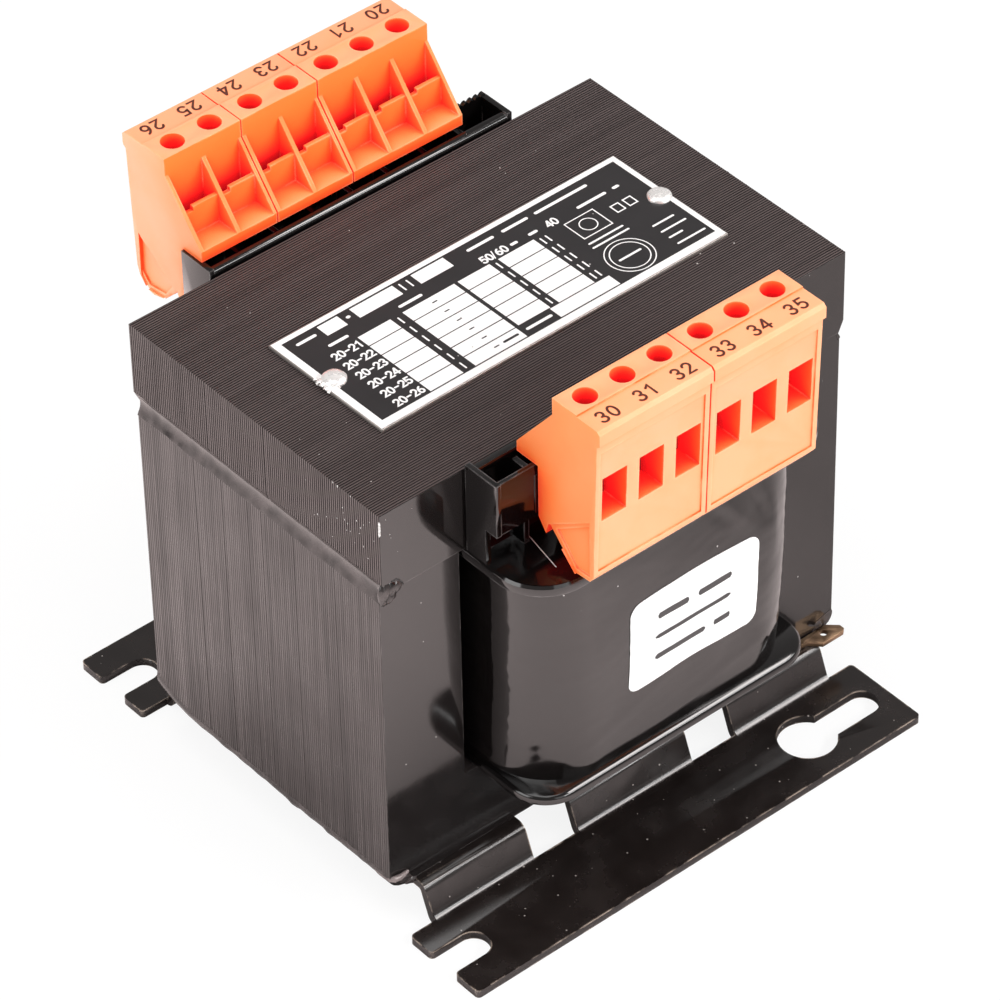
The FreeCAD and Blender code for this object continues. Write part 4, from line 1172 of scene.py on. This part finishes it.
for node_name, material in (
    ("primary_winding", WINDING_COPPER),
    ("secondary_winding", WINDING_COPPER),
    ("winding_insulation", INSULATION_FILM),
):
    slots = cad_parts[node_name].data.materials
    slots.clear()
    slots.append(material)


# Floor, light and camera

FLOOR_GLOW = 1.02
MIRRORED_GLOW = 3.1
AIR_STRENGTH = 0.45
WINDOW_STRENGTH = 19.0
LAMPS = (
    ("overhead_softbox", (-0.25, -0.1, 1.3), (0.9, 0.9), 7.5),
    ("front_strip_light", (0.62, -0.93, 0.66), (1.3, 0.17), 12.0),
    ("front_softbox", (-0.1, -1.3, 0.6), (0.7, 0.7), 2.5),
    ("left_softbox", (-1.3, 0.15, 0.7), (0.8, 0.8), 9.0),
)
LAMP_AIM = Vector((0, 0, 0.05))
CAMERA_AT = Vector((-449.45, -541.77, 656.3)) * MM
CAMERA_AIM = Vector((3.088, 2.135, 40.0)) * MM
CAMERA_ROLL = math.radians(-1.208)
CAMERA_LENS = 206.91


def floor_white():
    # Plain white to the camera and brighter in reflections, where it carries painted shadow: darker under the
    # object and falling off towards +X
    material = bpy.data.materials.new("floor_white")
    material.use_nodes = True
    tree = material.node_tree
    tree.nodes.clear()
    rays = add(tree, "LightPath").outputs
    mirrored = math_node(tree, "MAXIMUM", rays["Is Glossy Ray"], rays["Is Transmission Ray"])
    seen = math_node(tree, "MAXIMUM", rays["Is Camera Ray"], mirrored)
    tint = blend_colour(tree, mirrored, (1, 1, 1), (1.0, 0.85, 0.83))
    # Painted shadow in reflections: darker near the object, and falling off towards +X
    hidden = add(tree, "AmbientOcclusion", {"Distance": 0.16}, samples=6)
    painted_shadow_under = stretch(tree, hidden.outputs["AO"], 0.57, 0.86, 0.06, 1.0)
    across = add(tree, "SeparateXYZ", {"Vector": in_place(tree)})
    painted_falloff = stretch(tree, across.outputs["X"], -0.005, 0.075, 1.0, 0.36)
    bright = times(tree, times(tree, painted_shadow_under, painted_falloff), MIRRORED_GLOW)
    extra = math_node(tree, "SUBTRACT", bright, FLOOR_GLOW)
    strength = plus(tree, FLOOR_GLOW, times(tree, mirrored, extra))
    matt = add(tree, "BsdfDiffuse", {"Color": (0.9, 0.9, 0.9, 1)})
    glow = add(tree, "Emission", {"Color": tint, "Strength": strength})
    both = add(tree, "MixShader", {0: times(tree, seen, 0.86), 1: matt.outputs[0], 2: glow.outputs[0]})
    add(tree, "OutputMaterial", {"Surface": both.outputs[0]})
    return material


def studio_air(world):
    # A plain pale room, with a window that only the first reflections see
    world.use_nodes = True
    air = world.node_tree
    split = add(air, "SeparateXYZ", {"Vector": add(air, "TexCoord").outputs["Generated"]})
    window = stretch(air, split.outputs["Z"], 0.63, 0.65)
    for axis, low, high in (("Z", 0.88, 0.86), ("Y", -0.08, -0.11), ("X", 0.26, 0.29), ("X", 0.7, 0.67)):
        window = times(air, window, stretch(air, split.outputs[axis], low, high))
    rays = add(air, "LightPath").outputs
    direct = math_node(air, "LESS_THAN", rays["Ray Depth"], 2.5)
    window = times(air, window, times(air, rays["Is Glossy Ray"], direct))
    backdrop = air.nodes["Background"]
    backdrop.inputs["Color"].default_value = (1.0, 0.95, 0.935, 1)
    link(air, stretch(air, window, 0.0, 1.0, AIR_STRENGTH, WINDOW_STRENGTH), backdrop, "Strength")


def studio():
    scene = bpy.context.scene
    scene.view_settings.view_transform = "Standard"
    floor_shape = bmesh.new()
    bmesh.ops.create_grid(floor_shape, x_segments=1, y_segments=1, size=6.0)
    mesh = bpy.data.meshes.new("floor")
    floor_shape.to_mesh(mesh)
    floor_shape.free()
    floor = put("floor", mesh)
    mesh.materials.append(floor_white())
    scene.world = bpy.data.worlds.new("studio_air")
    studio_air(scene.world)
    for name, position, (wide, high), power in LAMPS:
        light = bpy.data.lights.new(name, "AREA")
        light.shape = "RECTANGLE"
        light.size = wide
        light.size_y = high
        light.energy = power
        lamp = put(name, light)
        lamp.location = position
        lamp.rotation_euler = (LAMP_AIM - Vector(position)).to_track_quat("-Z", "Y").to_euler()
    camera = put("camera", bpy.data.cameras.new("camera"))
    camera.data.sensor_width = 36.0
    camera.data.lens = CAMERA_LENS
    camera.data.clip_start = 0.05
    camera.data.clip_end = 50.0
    camera.location = CAMERA_AT
    turn = (CAMERA_AIM - CAMERA_AT).to_track_quat("-Z", "Y").to_matrix()
    camera.rotation_euler = (turn @ Matrix.Rotation(CAMERA_ROLL, 3, "Z")).to_euler()
    scene.camera = camera


studio()
